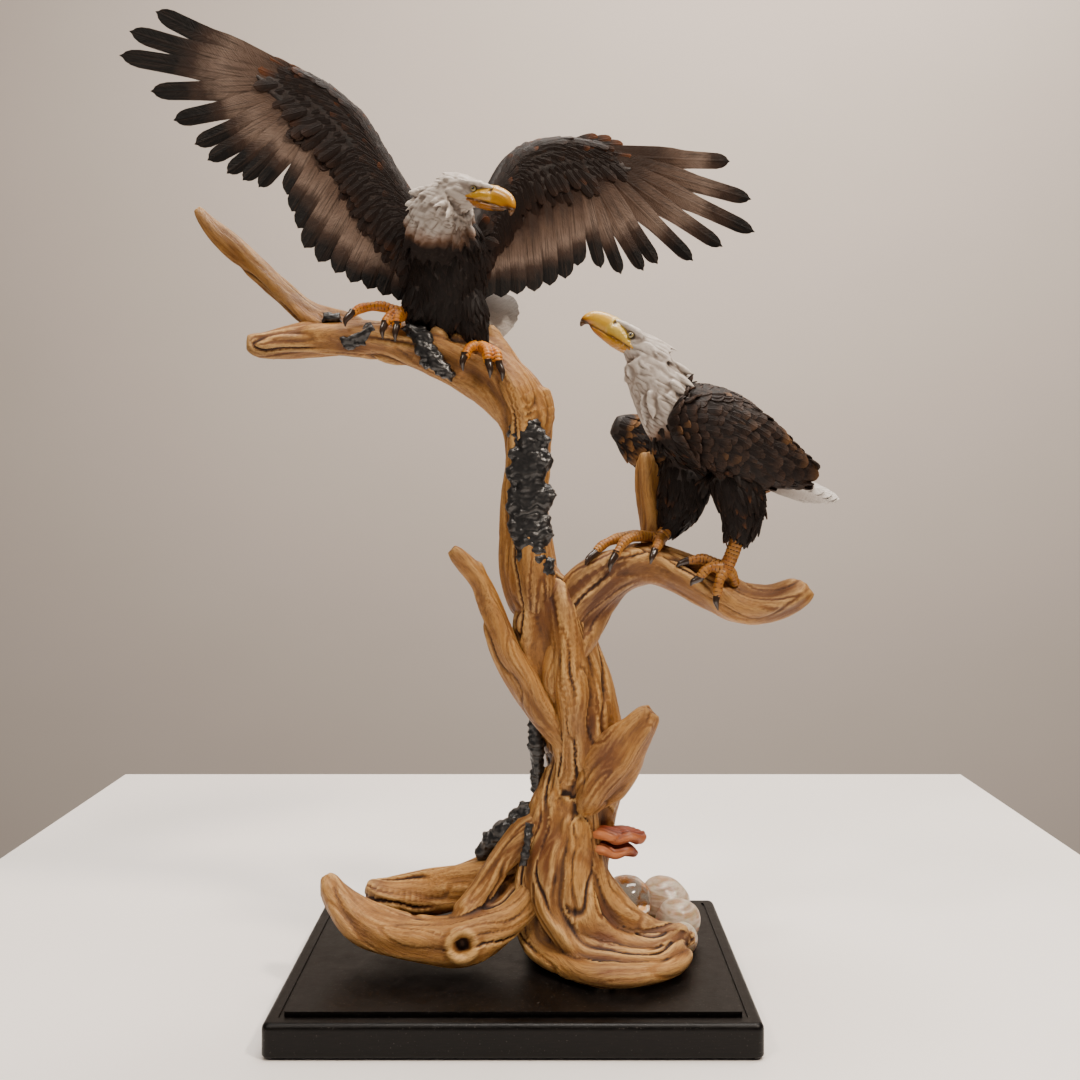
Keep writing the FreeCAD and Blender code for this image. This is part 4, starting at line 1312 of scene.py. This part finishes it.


# %% [markdown]
# ## White heads
# The locks are laid over a bald head first and are then melted into it, because the real head is one
# casting with carved locks, not loose feathers. Near the eye and the beak none are laid. Each point keeps
# how deep it lies and how near the hem it is, for the painted shade in the folds and the brown edge.

# %% Skulls and white locks
def make_head(name, node_name, spot, neck, locks, tufts, seed, hem_rise, last):
    """Skull, neck and locks melted into one skin, like the casting, with sunk eyes and a stained face."""
    parts = [spot.lump(s) for s in SKULL] + [spot.lump(s, 12) for s in mirrored(BROW) + mirrored(CHEEK)]
    parts.append(tube(smooth_path(neck), 20))
    bald = melt(name + "_bald", parts, 1.2)
    move_points(bald, relax(points_of(bald), edges_of(bald), 5))

    def clear_of_face(hit):
        x, y, z = spot.back(hit)
        if math.dist((x, abs(y), z), EYE_PLACE) < 5.5 or x > 7:
            return False
        return not (x > -9 and z < -2.5 and x + abs(y) > 0)

    feathers = lay(body_tree(bald), locks, seed=seed, keep=clear_of_face, last=last, **LOCKS)
    for x, y, z, dx, dy, dz, long, wide_lock in tufts:
        feathers.append((
            np.array((x, y, z)), np.array((dx, dy, dz)), np.array((0, -1.0, 0.25)), long, wide_lock, 4.2,
            -0.05, 0.2, 0.2,
        ))
    bpy.data.objects.remove(bald)
    piece = melt(name, parts + [copies(LANCE, feathers)[:2]], 0.75)
    edges = edges_of(piece)
    co, normals = relax(points_of(piece), edges, 3), normals_of(piece)
    local = spot.back(co)
    sided = np.stack([local[:, 0], np.abs(local[:, 1]), local[:, 2]], 1)
    eye = np.linalg.norm(sided - np.array(EYE_PLACE), axis=1)
    lore = furrow(np.linalg.norm((sided - np.array([8.5, 6.0, -0.5])) * [1, 1, 1.3], axis=1), 3.4)
    height = -1.0 * furrow(eye, 3.2) - 0.5 * lore
    hair = furrow(ridged(local * np.array([1 / 11, 1 / 2.4, 1 / 2.4])), 0.30)
    height -= 0.45 * hair * ease((eye - 3.5) / 3)
    move_points(piece, co + normals * (height * spot.scale)[:, None])
    near, wide = hollows(piece)
    record_value(piece, "crease", near)
    record_value(piece, "hollow", wide)
    behind = furrow(np.linalg.norm((sided - np.array([-4.5, 9.0, -0.8])) * [0.55, 1, 1.2], axis=1), 2.8)
    stain = 0.85 * furrow(np.maximum(eye - 1.9, 0), 1.5) + 0.5 * behind + 0.55 * lore
    record_value(piece, "stain", np.clip(stain, 0, 1))
    end = np.array(locks[-1][:3], float)
    back = unit(np.array(locks[-2][:3], float) - end)
    record_value(piece, "hem", (co - end) @ back - hem_rise + 6.0 * (cloud(co / 6.0) - 0.5))
    piece.data.materials.append(white_skin)
    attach(piece, "root")
    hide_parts(node_name)
    print(name, len(feathers), "locks,", len(piece.data.polygons), "faces")


def lock_size(t):
    grow = ease((t - 0.18) / 0.7)
    return 8 + 12 * grow, 3.6 + 3.0 * grow, 1.5 + 1.2 * grow


LOCKS = dict(size=lock_size, gap=0.45, first=0.10, tilt=0.09, ragged=0.26, lift=-0.7)

UPPER_NECK = [
    (-49, -19, 500, 21, 15), (-50, -29, 509, 22, 18), (-45, -37, 521, 19.5, 17), (-36, -44, 526, 14, 14),
]
make_head(
    "upper_bird_white_head", "upper_bird_head", UPPER_PLACE, UPPER_NECK,
    locks=[
        (-10, -60, 525, 6, 6), (-22, -53, 528, 9, 10), (-35, -45, 526, 15, 15), (-45, -38, 518, 20, 18),
        (-50, -29, 507, 22, 18), (-50, -20, 497, 22, 16),
    ],
    tufts=[
        (-56, -35, 534, -1, 0.15, 0.0, 15, 9), (-58, -34, 529, -1, 0.1, -0.2, 16, 9),
        (-59, -33, 523, -1, 0.05, -0.5, 13, 9), (-31, -39, 510, 0.7, 0, -1, 9, 7),
    ], seed=41, hem_rise=9.0, last=0.84,
)
make_beak("upper_bird_hooked_beak", "upper_bird_beak", UPPER_PLACE, warmth=0.28)
make_eyes("upper_bird_glass_eyes", "upper_bird_eyes", UPPER_PLACE)

LOWER_NECK = [
    (108, -10, 386, 21, 20), (99, -12, 402, 20, 18), (91, -12, 417, 17.5, 16), (84, -12, 429, 14, 13),
]
make_head(
    "lower_bird_white_head", "lower_bird_head", LOWER_PLACE, LOWER_NECK,
    locks=[
        (66, -12, 447, 6, 6), (76, -12, 440, 10, 10), (84, -12, 429, 14, 13), (91, -12, 416, 17.5, 16),
        (100, -12, 401, 20, 18), (110, -10, 384, 22, 20),
    ],
    tufts=[
        (104, -20, 424, 1, 0.1, -0.55, 17, 6), (106, -24, 416, 1, -0.1, -0.75, 17, 6),
        (102, -29, 411, 0.95, -0.1, -0.9, 18, 6), (100, -30, 402, 0.85, -0.1, -1, 17, 6),
        (94, -29, 400, 0.6, -0.1, -1, 18, 6), (88, -28, 404, 0.15, -0.05, -1, 20, 6),
        (84, -24, 402, 0.1, 0, -1, 22, 5), (105, -6, 424, 1, 0.2, -0.6, 16, 6),
        (104, 4, 418, 0.9, 0.4, -0.8, 16, 6),
    ], seed=42, hem_rise=-8.0, last=0.97,
)
make_beak("lower_bird_hooked_beak", "lower_bird_beak", LOWER_PLACE, warmth=0.0)
make_eyes("lower_bird_glass_eyes", "lower_bird_eyes", LOWER_PLACE)

# %% [markdown]
# ## Bodies
# The upper bird leans forward over its spread legs, and the lower bird stands level. Torso and thighs are
# oval tubes melted into one body. Shaggy pointed feathers are laid over each tube in turn, so that the
# trousers hang over the legs. Warm brown ones are more frequent low on the upper bird.

# %% Bodies and trousers
UPPER_TORSO = [
    (-49, -18, 530, 14, 12), (-48, -17, 511, 24, 20), (-47, -10, 492, 26, 22), (-47, -4, 473, 25, 20),
    (-47, 2, 455, 19, 16), (-47, 6, 444, 7, 7),
]
UPPER_THIGHS = [
    [(-38, -8, 476, 15, 14), (-31, -9, 456, 11.5, 12), (-26, -9, 438, 6.5, 6.5)],
    [(-58, -8, 480, 15, 14), (-66, -10, 465, 10.5, 11), (-71, -11, 456, 5.5, 5.5)],
]
LOWER_TORSO = [
    (101, -9, 393, 21, 21), (113, -8, 386, 26, 25), (134, -8, 378, 29, 27), (157, -8, 367, 25, 23),
    (178, -8, 356, 16, 15), (194, -8, 348, 5, 5),
]
LOWER_THIGHS = [
    [(142, -24, 354, 18, 16), (149, -27, 328, 15, 14), (147, -28, 310, 10, 9)],
    [(120, 6, 356, 20, 16), (113, 5, 331, 16, 15), (105, 4, 314, 9, 9)],
]


def shaggy(t):
    return 12.5, 4.6, 1.5


def warm_low(top, bottom):
    """More warm feathers towards the bottom height."""

    def shade(t, hit):
        patchy = 0.4 + 0.6 * float(cloud(hit[None] / 9)[0])
        return 0.45 + 0.5 * float(ease((top - hit[2]) / (top - bottom))) * patchy

    return shade


upper_body = melted_body(
    "upper_bird_body", [UPPER_TORSO] + UPPER_THIGHS, 1.8, under_dark, ["upper_bird_torso"],
)
tree = body_tree(upper_body)
shag = dict(size=shaggy, gap=0.40, tilt=0.24, ragged=0.5, lift=-0.6)
feathers = lay(tree, UPPER_TORSO, seed=51, first=0.16, shade=warm_low(480, 450), **shag)
for k, thigh in enumerate(UPPER_THIGHS):
    feathers += lay(tree, thigh, seed=52 + k, shade=warm_low(475, 440), **shag)
plume("upper_bird_body_feathers", LANCE, feathers, dark_plumage, ["upper_bird_torso"])

lower_body = melted_body(
    "lower_bird_body", [LOWER_TORSO] + LOWER_THIGHS, 1.8, under_dark, ["lower_bird_torso"],
)
tree = body_tree(lower_body)
feathers = lay(tree, LOWER_TORSO, seed=61, **shag)
for k, thigh in enumerate(LOWER_THIGHS):
    feathers += lay(tree, thigh, seed=62 + k, **shag)
plume("lower_bird_body_feathers", LANCE, feathers, dark_plumage, ["lower_bird_torso"])


# %% [markdown]
# ## Folded wings and mantle
# A folded wing is a flat oval body under rows of rounded scale feathers that grow longer towards the tail,
# with a few dark quills past its end. The mantle covers the back between the two wings in the same way.


# %% Folded wings and mantle
def scale_rows(t):
    return 9.5 + 7 * t, 7.5 + 2.0 * t, 1.6


def golden(low):
    """Patches of golden feathers over a base share of them."""
    return lambda t, hit: low + 0.55 * float(cloud(hit[None] / 13 + 4.0)[0])


NEAR_WING = [
    (103, -28, 379, 9, 6), (112, -34, 381, 18, 8), (128, -38, 378, 24, 9), (146, -38, 370, 24, 9),
    (166, -33, 360, 19, 8), (187, -23, 352, 11, 6), (199, -15, 349, 4, 3),
]
FAR_WING = [
    (68, 32, 386, 7, 6), (79, 33, 381, 14, 8), (94, 30, 370, 18, 9), (116, 24, 362, 20, 8),
    (156, 16, 357, 19, 7), (190, 6, 352, 9, 5),
]
# golden patches are the wings' own paint; the far wing's much higher share (0.85, near wing 0.36) is
# painted light on its top, which faces the lamps above
for name, node_name, stations, seed, glow_low, place_to in (
    ("lower_bird_near_wing", "lower_bird_near_wing", NEAR_WING, 71, 0.36, (199, -14, 350)),
    ("lower_bird_far_wing", "lower_bird_far_wing", FAR_WING, 72, 0.85, (195, 0, 349)),
):
    wing = melted_body(name + "_shape", [stations], 1.6, under_dark, [node_name])
    tree = body_tree(wing)
    feathers = lay(
        tree, stations, size=scale_rows, gap=0.42, first=0.02, last=0.86, tilt=0.16, ragged=0.14,
        lift=-0.5, seed=seed, shade=golden(glow_low),
    )
    plume(name + "_scales", SCALE, feathers, mantle_plumage, [node_name])
    rng = np.random.default_rng(seed)
    end = np.array(place_to, float)
    long_ones = []
    for k in range(7):
        share = k / 6
        shift = (4.0 - 10 * share, -2.0 if seed == 71 else 2.0, 11 - 22 * share)
        root = np.array(stations[4][:3]) + np.array(shift)
        tip = end + np.array([-13.0 * share, 0, 5.0 - 9 * share])
        long_ones.append((
            root, tip - root, np.array([0.15, -1.0 if seed == 71 else 1.0, 0.2]),
            float(np.linalg.norm(tip - root)), 10.5, 2.0, 0.0, 0.06, 0.1,
        ))
    plume(name + "_quills", QUILL, long_ones, dark_plumage, [node_name])

# the mantle between the folded wings and over the shoulders
mantle = [
    (108, -8, 398, 13, 20), (124, -8, 394, 17, 26), (143, -8, 385, 19, 27), (163, -8, 372, 15, 22),
    (181, -8, 359, 9, 13),
]
back = melted_body("lower_bird_mantle", [mantle], 1.8, under_dark, ["lower_bird_torso"])
feathers = lay(
    body_tree(back), mantle, size=scale_rows, gap=0.42, tilt=0.16, ragged=0.16, lift=-0.5, seed=66,
    shade=golden(0.35),
)
plume("lower_bird_mantle_scales", SCALE, feathers, mantle_plumage, ["lower_bird_torso"])

# %% [markdown]
# ## Tails
# Each white tail is a small fan of long quills. The upper bird spreads its tail behind its body, and the
# lower bird holds its own nearly closed, with the middle feathers longest.

# %% Tails
feathers = []
for k in range(6):
    share = k / 5
    root = np.array([-46 + 6 * share, 13 + 3 * share, 468 + 6 * share])
    tip = np.array([-12 + 13 * math.sin(1.9 * share), 33 + 5 * share, 447 + 24 * share])
    feathers.append((
        root, tip - root, np.array([-0.25, -1.0, 0.1]), float(np.linalg.norm(tip - root)), 16.0, 2.4,
        0.0, 0.08, 0.1,
    ))
plume("upper_bird_white_tail", QUILL, feathers, white, ["upper_bird_tail"])
feathers = []
for k in range(9):
    share = k / 8
    arch = math.sin(3.1 * share)
    root = np.array([168, -8 + 14 * (share - 0.5), 350 - 6 * share])
    tip = np.array([201 + 18 * arch, -8 + 12 * (share - 0.5), 341 - 9 * share - 4 * arch])
    feathers.append((
        root, tip - root, np.array([0.3, -1.2 + 0.6 * share, 0.8]), float(np.linalg.norm(tip - root)),
        10.0, 2.0, 0.0, 0.06, 0.15,
    ))
plume("lower_bird_white_tail", QUILL, feathers, white, ["lower_bird_tail"])

# %% [markdown]
# ## Feet and claws
# A foot is a scaly shank with three or four toes melted together. Ring scales are cut across each toe by
# the distance along it. The claws are dark, curved cones.


# %% Feet and claws
def foot_paint(name, pale, deep):
    """Scaly skin that is darker between its rings."""
    mat, bsdf = material(name, roughness=0.42, Specular_IOR_Level=0.4)
    spots = noise(mat, place(mat), 150.0, detail=4.0)
    colour = mix(mat, span(mat, spots, 0.35, 0.7), pale, deep)
    colour = mix(mat, span(mat, attribute(mat, "crease"), 0.02, 0.18), colour, (0.045, 0.012, 0.003))
    colour = mix(
        mat, span(mat, attribute(mat, "hollow"), 0.2, 1.2, 0.0, 0.8), colour, (0.15, 0.05, 0.015),
    )
    paint(mat, bsdf, colour)
    bump(mat, bsdf, spots, 0.0003, 0.5)
    return mat


orange_skin = foot_paint("orange_skin", (0.56, 0.215, 0.012), (0.36, 0.085, 0.004))
tan_skin = foot_paint("tan_skin", (0.40, 0.180, 0.035), (0.26, 0.085, 0.012))

claw_horn, bsdf = material("claw_horn", roughness=0.28, Coat_Weight=0.3, Coat_Roughness=0.2)
paint(
    claw_horn, bsdf,
    mix(
        claw_horn, noise(claw_horn, place(claw_horn), 300.0), (0.010, 0.006, 0.004),
        (0.045, 0.022, 0.012),
    ),
)

FEET = {  # shank, toes, and claws as (base, tip)
    "upper_bird_left": (
        [(-69, -11, 461), (-77, -12, 456)],
        [
            [(-75, -12, 457), (-84, -12, 461), (-93, -12, 463), (-104, -15, 461), (-111, -18, 456)],
            [(-76, -13, 457), (-83, -18, 457), (-87, -24, 449)],
            [(-76, -13, 457), (-79, -20, 454), (-79, -24, 447)],
        ],
        [
            ((-110, -18, 457), (-114, -20, 448)), ((-87, -24, 449), (-88, -25, 439)),
            ((-79, -24, 448), (-80, -25, 437)),
        ],
    ),
    "upper_bird_right": (
        [(-27, -9, 442), (-25, -13, 435)],
        [
            [(-25, -12, 436), (-31, -19, 434), (-34, -24, 427)],
            [(-25, -12, 436), (-20, -22, 432), (-18, -27, 422)],
            [(-25, -12, 436), (-14, -20, 431), (-11, -25, 421)],
        ],
        [
            ((-34, -24, 428), (-35, -24, 418)), ((-18, -27, 423), (-17, -27, 413)),
            ((-11, -25, 422), (-9, -25, 411)),
        ],
    ),
    "lower_bird_near": (
        [(147, -28, 312), (144, -27, 300), (139, -26, 287)],
        [
            [(139, -26, 287), (128, -29, 288), (120, -30, 281)],
            [(139, -26, 287), (134, -31, 280), (132, -31, 269)],
            [(139, -26, 287), (126, -22, 293), (114, -21, 292)],
            [(139, -26, 287), (144, -22, 283), (147, -18, 276)],
        ],
        [
            ((121, -30, 281), (115, -30, 276)), ((132, -31, 270), (133, -31, 260)),
            ((115, -21, 292), (107, -22, 288)),
        ],
    ),
    "lower_bird_far": (
        [(106, 2, 315), (98, -2, 306)],
        [
            [(98, -2, 306), (84, -10, 308), (73, -18, 305), (66, -25, 296)],
            [(98, -2, 306), (78, -4, 308), (62, -11, 304), (53, -17, 298)],
            [(98, -2, 306), (96, -15, 304), (92, -22, 298)],
        ],
        [
            ((66, -25, 296), (62, -27, 285)), ((53, -17, 297), (46, -23, 289)),
            ((92, -22, 298), (89, -25, 290)),
        ],
    ),
}


def toe_path(points):
    """Radii that thin out along a toe and swell at its knuckles."""
    path = smooth_path([(*p, 4.2 - 1.2 * i / (len(points) - 1)) for i, p in enumerate(points)], 1.0)
    path[:, 3] += 0.30 * np.sin(frames(path)[3] / 2.2)
    return path


for name, (shank, toes, claws) in FEET.items():
    paths = [smooth_path([(*p, 5.0) for p in shank], 1.0)] + [toe_path(t) for t in toes]
    foot = melt(name + "_scaly_foot", [tube(p) for p in paths], 0.7)
    edges = edges_of(foot)
    co = relax(points_of(foot), edges, 3)
    move_points(foot, co)
    grain = grain_places(co, paths, [0] * len(paths))
    upper_side = ease((normals_of(foot)[:, 2] + normals_of(foot)[:, 1] * -0.6 + 0.8) / 0.8)
    ring = furrow(np.sin(np.pi * grain[:, 0] / 2.6), 0.34)
    move_points(foot, co - normals_of(foot) * (0.55 * ring * upper_side)[:, None])
    near, wide = hollows(foot)
    record_value(foot, "crease", near)
    record_value(foot, "hollow", wide)
    foot.data.materials.append(orange_skin if name.startswith("upper") else tan_skin)
    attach(foot, "root")
    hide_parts(name + "_foot")
    lumps = []
    for base, tip in claws:
        base, tip = np.array(base, float), np.array(tip, float)
        out_way = unit(np.array([base[0] - shank[-1][0], base[1] - shank[-1][1] - 2, 4.0]))
        middle = (base + tip) / 2 + out_way * 1.6
        lumps.append(tube(
            smooth_path(
                [(*(base - (tip - base) * 0.25), 2.6), (*base, 2.6), (*middle, 2.0), (*tip, 0.4)], 0.8,
            ),
            12,
        ))
    talons = new_piece(name + "_talons", lumps)
    select_only(talons)
    bpy.ops.object.shade_smooth_by_angle(angle=math.radians(60))
    talons.data.materials.append(claw_horn)
    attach(talons, "root")
    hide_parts(name + "_claws")
    print(name, len(foot.data.polygons), "faces")

# %% [markdown]
# ## Bark
# Flakes of charred bark lie on the wood. Each is a run of lumps of uneven size melted together, with
# ripples pressed into it, so that its edge is ragged and its face shines in waves.

# %% Bark flakes
bark, bsdf = material(
    "charred_bark", roughness=0.34, Specular_IOR_Level=0.5, Coat_Weight=0.25, Coat_Roughness=0.25,
)
grit = noise(bark, place(bark), 260.0, detail=5.0, roughness=0.65)
colour = mix(
    bark, span(bark, attribute(bark, "crease"), 0.0, -0.35), (0.0075, 0.0072, 0.0078),
    (0.040, 0.036, 0.034),
)
colour = mix(bark, span(bark, grit, 0.6, 0.8, 0.0, 0.5), colour, (0.055, 0.045, 0.038))
paint(bark, bsdf, colour, span(bark, grit, 0.3, 0.7, 0.26, 0.5))
bump(bark, bsdf, grit, 0.0006, 0.7)


def bark_flake(name, stations, seed, voxel=0.9):
    """One flake along its stations, flat on the wood, ragged at the edge and rippled."""
    rng = np.random.default_rng(seed)
    path = smooth_path(stations, 1.5)
    along, _, _, length = frames(path)
    core = path.copy()
    core[:, 3] *= 0.74 + 0.10 * np.sin(length / 4.0 + seed)
    core[:, 4] *= 0.92
    lumps = [tube(core, 16)]
    for k in range(int(length[-1] / 2.6) + 5):
        i = rng.integers(0, len(path))
        wide, deep = path[i, 3], path[i, 4]
        across = unit(np.cross(along[i], [0, 1.0, 0])) * (1 if k % 2 else -1)
        size = wide * rng.uniform(0.22, 0.42)
        spot = path[i, :3] + across * (wide - size) * rng.uniform(0.8, 1.08)
        step = unit(along[i] * rng.uniform(-1, 1) + across * rng.uniform(-0.4, 0.8)) * size
        rows = [
            (*(spot - step), size * 0.7, deep * 0.6), (*spot, size, deep * 0.75),
            (*(spot + step), size * 0.6, deep * 0.5),
        ]
        lumps.append(tube(smooth_path(rows, 1.5), 10))
    piece = melt(name, lumps, voxel)
    edges = edges_of(piece)
    co, normals = relax(points_of(piece), edges, 3), normals_of(piece)
    warp = np.stack([cloud(co / 7.0), cloud(co / 7.0 + 5), cloud(co / 7.0 + 11)], 1) * 9.0
    ripple = ridged((co + warp) * np.array([1 / 10, 1 / 10, 1 / 4.5]) + seed)
    fine = ridged((co + 0.5 * warp) * np.array([1 / 4, 1 / 4, 1 / 1.9]) + seed)
    move_points(piece, co + normals * (1.7 * ripple - 1.1 + 0.7 * (fine - 0.5))[:, None])
    record_value(piece, "crease", hollows(piece)[0])
    piece.data.materials.append(bark)
    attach(piece, "root")
    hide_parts(name.replace("_charred", ""))
    print(name, len(piece.data.polygons), "faces")


BARK_FLAKES = {
    "bark_upper_limb_charred": [
        (4, -12, 394, 8, 6), (7, -12, 378, 14, 8), (9, -12, 358, 17, 9), (9, -12, 336, 17, 9),
        (9, -13, 314, 16, 9), (13, -15, 296, 14, 9), (21, -16, 281, 6, 6),
    ],
    "bark_trunk_side_charred": [
        (13, -2, 195, 6, 6), (13, -2, 174, 7, 7), (14, 0, 150, 7, 7), (15, 2, 129, 6, 6),
    ],
    "bark_back_root_charred": [
        (13, -6, 123, 9, 9), (0, -2, 108, 12, 11), (-14, 3, 98, 11, 10), (-27, 7, 87, 6, 6),
    ],
    "bark_foot_strip_charred": [(9, -20, 118, 4, 4), (7, -25, 104, 4, 4), (5, -27, 90, 4, 4)],
    "bark_limb_left_charred": [(-95, -12, 449, 6, 5), (-105, -13, 443, 8, 6), (-118, -14, 437, 6, 5)],
    "bark_limb_top_charred": [(-119, -8, 456, 5, 5), (-132, -8, 456, 5, 4)],
    "bark_limb_middle_charred": [
        (-73, -14, 450, 6, 5), (-65, -16, 442, 8, 6), (-59, -17, 430, 9, 7), (-50, -18, 421, 7, 6),
        (-42, -19, 414, 4, 4),
    ],
}
for number, (name, stations) in enumerate(BARK_FLAKES.items()):
    bark_flake(name, stations, 80 + number)


# %% [markdown]
# ## Fungus
# Each shelf is three flattened balls melted together. Growth rings are pressed into it by the distance from
# the trunk, and its rim is waved by the angle round it.


# %% Fungus shelves
def round_lump(centre, size, segments=40, rings=24):
    bpy.ops.object.select_all(action="DESELECT")
    bpy.ops.mesh.primitive_uv_sphere_add(segments=segments, ring_count=rings, radius=1)
    ball = bpy.context.object
    points = np.array([v.co for v in ball.data.vertices]) * np.array(size) + np.array(centre)
    polygons = [list(p.vertices) for p in ball.data.polygons]
    bpy.data.objects.remove(ball)
    return points, polygons


fungus, bsdf = material("fungus_rings", roughness=0.5)
rings = attribute(fungus, "rings")
colour = ramp(
    fungus, rings,
    [
        (0.0, (0.10, 0.020, 0.008)), (0.45, (0.30, 0.055, 0.016)), (0.75, (0.18, 0.030, 0.010)),
        (1.0, (0.48, 0.155, 0.045)),
    ],
)
colour = mix(fungus, span(fungus, attribute(fungus, "crease"), 0.0, 0.25), colour, (0.06, 0.018, 0.008))
paint(fungus, bsdf, colour)
bump(fungus, bsdf, noise(fungus, place(fungus), 300.0, detail=4.0), 0.0004, 0.6)

for name, lobes in {
    "fungus_upper": [
        ((70, -11, 106.5), (15, 13, 4.6)), ((60, -17, 109), (11, 9, 4.0)),
        ((81, -9, 104.5), (7, 8, 3.6)),
    ],
    "fungus_lower": [
        ((66, -13, 97.5), (14, 12, 4.4)), ((58, -18, 99), (9, 8, 3.8)), ((75, -12, 95.5), (7, 7, 3.4)),
    ],
}.items():
    piece = melt(name + "_shelf", [round_lump(c, s) for c, s in lobes], 0.7)
    edges = edges_of(piece)
    co, normals = relax(points_of(piece), edges, 3), normals_of(piece)
    far = np.linalg.norm((co - np.array([66, 6, 102]))[:, :2], axis=1)
    wave = np.arctan2(co[:, 1] - 6, co[:, 0] - 66)
    co[:, 2] += 0.9 * np.sin(wave * 9) * ease((far - 14) / 12)
    move_points(piece, co + normals * (0.35 * np.sin(far * 1.9))[:, None])
    record_value(piece, "rings", np.clip((far - 10) / 22 + 0.1 * (cloud(co / 5.0) - 0.5), 0, 1))
    record_value(piece, "crease", hollows(piece)[0])
    piece.data.materials.append(fungus)
    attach(piece, "root")
    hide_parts(name)
    print(name, len(piece.data.polygons), "faces")

# %% [markdown]
# ## Stones
# The stones are spheres that are made a little uneven and cut flat where they stand. One is clear resin
# with orange specks that are a painted reflection, its inner glint, and three are frosted and banded like
# agate.

# %% Stones
clear, bsdf = material("clear_resin", roughness=0.06, Transmission_Weight=0.85, IOR=1.48)
painted_glint = noise(clear, place(clear), 95.0, detail=3.0, roughness=0.7)
# painted reflection: the orange specks stand in for the glint of light inside the clear stone
paint(clear, bsdf, mix(clear, span(clear, painted_glint, 0.50, 0.60), (0.92, 0.84, 0.72), (0.78, 0.27, 0.04)))
bump(clear, bsdf, noise(clear, place(clear), 60.0), 0.0015, 0.4)

frosted, bsdf = material(
    "frosted_resin", roughness=0.30, Transmission_Weight=0.30, IOR=1.45, Subsurface_Weight=0.25,
)
bands = noise(
    frosted,
    node(
        frosted, "ShaderNodeMapping",
        {0: place(frosted), "Scale": (0.6, 0.6, 2.6), "Rotation": (0.5, 0.4, 0)},
    ).outputs[0],
    55.0, detail=5.0,
)
paint(
    frosted, bsdf,
    ramp(
        frosted, bands,
        [
            (0.32, (0.62, 0.50, 0.38)), (0.45, (0.45, 0.30, 0.17)), (0.55, (0.70, 0.60, 0.48)),
            (0.68, (0.30, 0.17, 0.085)),
        ],
    ),
)
bump(frosted, bsdf, noise(frosted, place(frosted), 120.0, detail=4.0), 0.0006, 0.5)

PANEL_TOP = 24.0
for name, centre, size, mat, slot in (
    ("pebble_clear", (78, 36, 43), (18.8, 18.8, 19), clear, "clear_resin"),
    ("pebble_back", (106, 46, 39), (18.8, 18.8, 19), frosted, "frosted_resin"),
    ("pebble_right", (112, 17, 37), (16, 15.5, 16), frosted, "frosted_resin"),
    ("pebble_front", (113, -1, 32), (11, 10.5, 11), frosted, "frosted_resin"),
):
    piece = new_piece(name + "_stone", [round_lump(centre, size, 64, 40)])
    co = points_of(piece)
    uneven = (cloud(co / 14.0) - 0.6) * 2.4
    uneven += 0.7 * (cloud(co / 5.0) - 0.6)
    co += normals_of(piece) * uneven[:, None]
    co[:, 2] = np.maximum(co[:, 2], PANEL_TOP)
    move_points(piece, co)
    select_only(piece)
    bpy.ops.object.shade_smooth()
    piece.data.materials.append(mat)
    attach(piece, "root")
    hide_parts(name)
    print(name, len(piece.data.polygons), "faces")

# %% [markdown]
# ## The plinth and the hidden hardware
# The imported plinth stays, because it is already crisp. It gets a black satin finish with faint dust and a
# shallow grain. The felt, the screws and the pins get simple finishes of their own.

# %% Plinth, felt and steel
satin, bsdf = material(
    "black_satin", roughness=0.34, Specular_IOR_Level=0.16, Coat_Weight=0.03, Coat_Roughness=0.3,
)
grain = noise(
    satin, node(satin, "ShaderNodeMapping", {0: place(satin), "Scale": (1.0, 1.0, 9.0)}).outputs[0],
    90.0, detail=6.0, roughness=0.7,
)
dust = noise(satin, place(satin), 700.0, detail=2.0)
colour = mix(satin, span(satin, grain, 0.45, 0.75), (0.0018, 0.0014, 0.0013), (0.0060, 0.0042, 0.0036))
colour = mix(satin, span(satin, dust, 0.66, 0.74, 0.0, 0.5), colour, (0.10, 0.09, 0.08))
paint(satin, bsdf, colour, span(satin, grain, 0.3, 0.7, 0.28, 0.46))
bump(satin, bsdf, grain, 0.0004, 0.35)

felt, bsdf = material("black_felt", roughness=0.95, Sheen_Weight=0.4)
paint(
    felt, bsdf, mix(felt, noise(felt, place(felt), 900.0), (0.012, 0.012, 0.013), (0.035, 0.035, 0.038)),
)
bump(felt, bsdf, noise(felt, place(felt), 1200.0, detail=3.0), 0.0008, 0.8)

steel, bsdf = material("zinc_steel", roughness=0.35, Metallic=1.0)
paint(steel, bsdf, mix(steel, noise(steel, place(steel), 400.0), (0.42, 0.42, 0.43), (0.60, 0.60, 0.61)))


def finish_node(name, mat):
    """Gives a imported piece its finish, in every material slot it has."""
    for material_slot in nodes[name].material_slots:
        material_slot.material = mat


finish_node("plinth", satin)
finish_node("base_felt", felt)
for name in (
    "base_screws", "base_washers", "trunk_dowel", "right_limb_dowel", "upper_bird_left_wing_pin",
    "upper_bird_right_wing_pin",
):
    finish_node(name, steel)
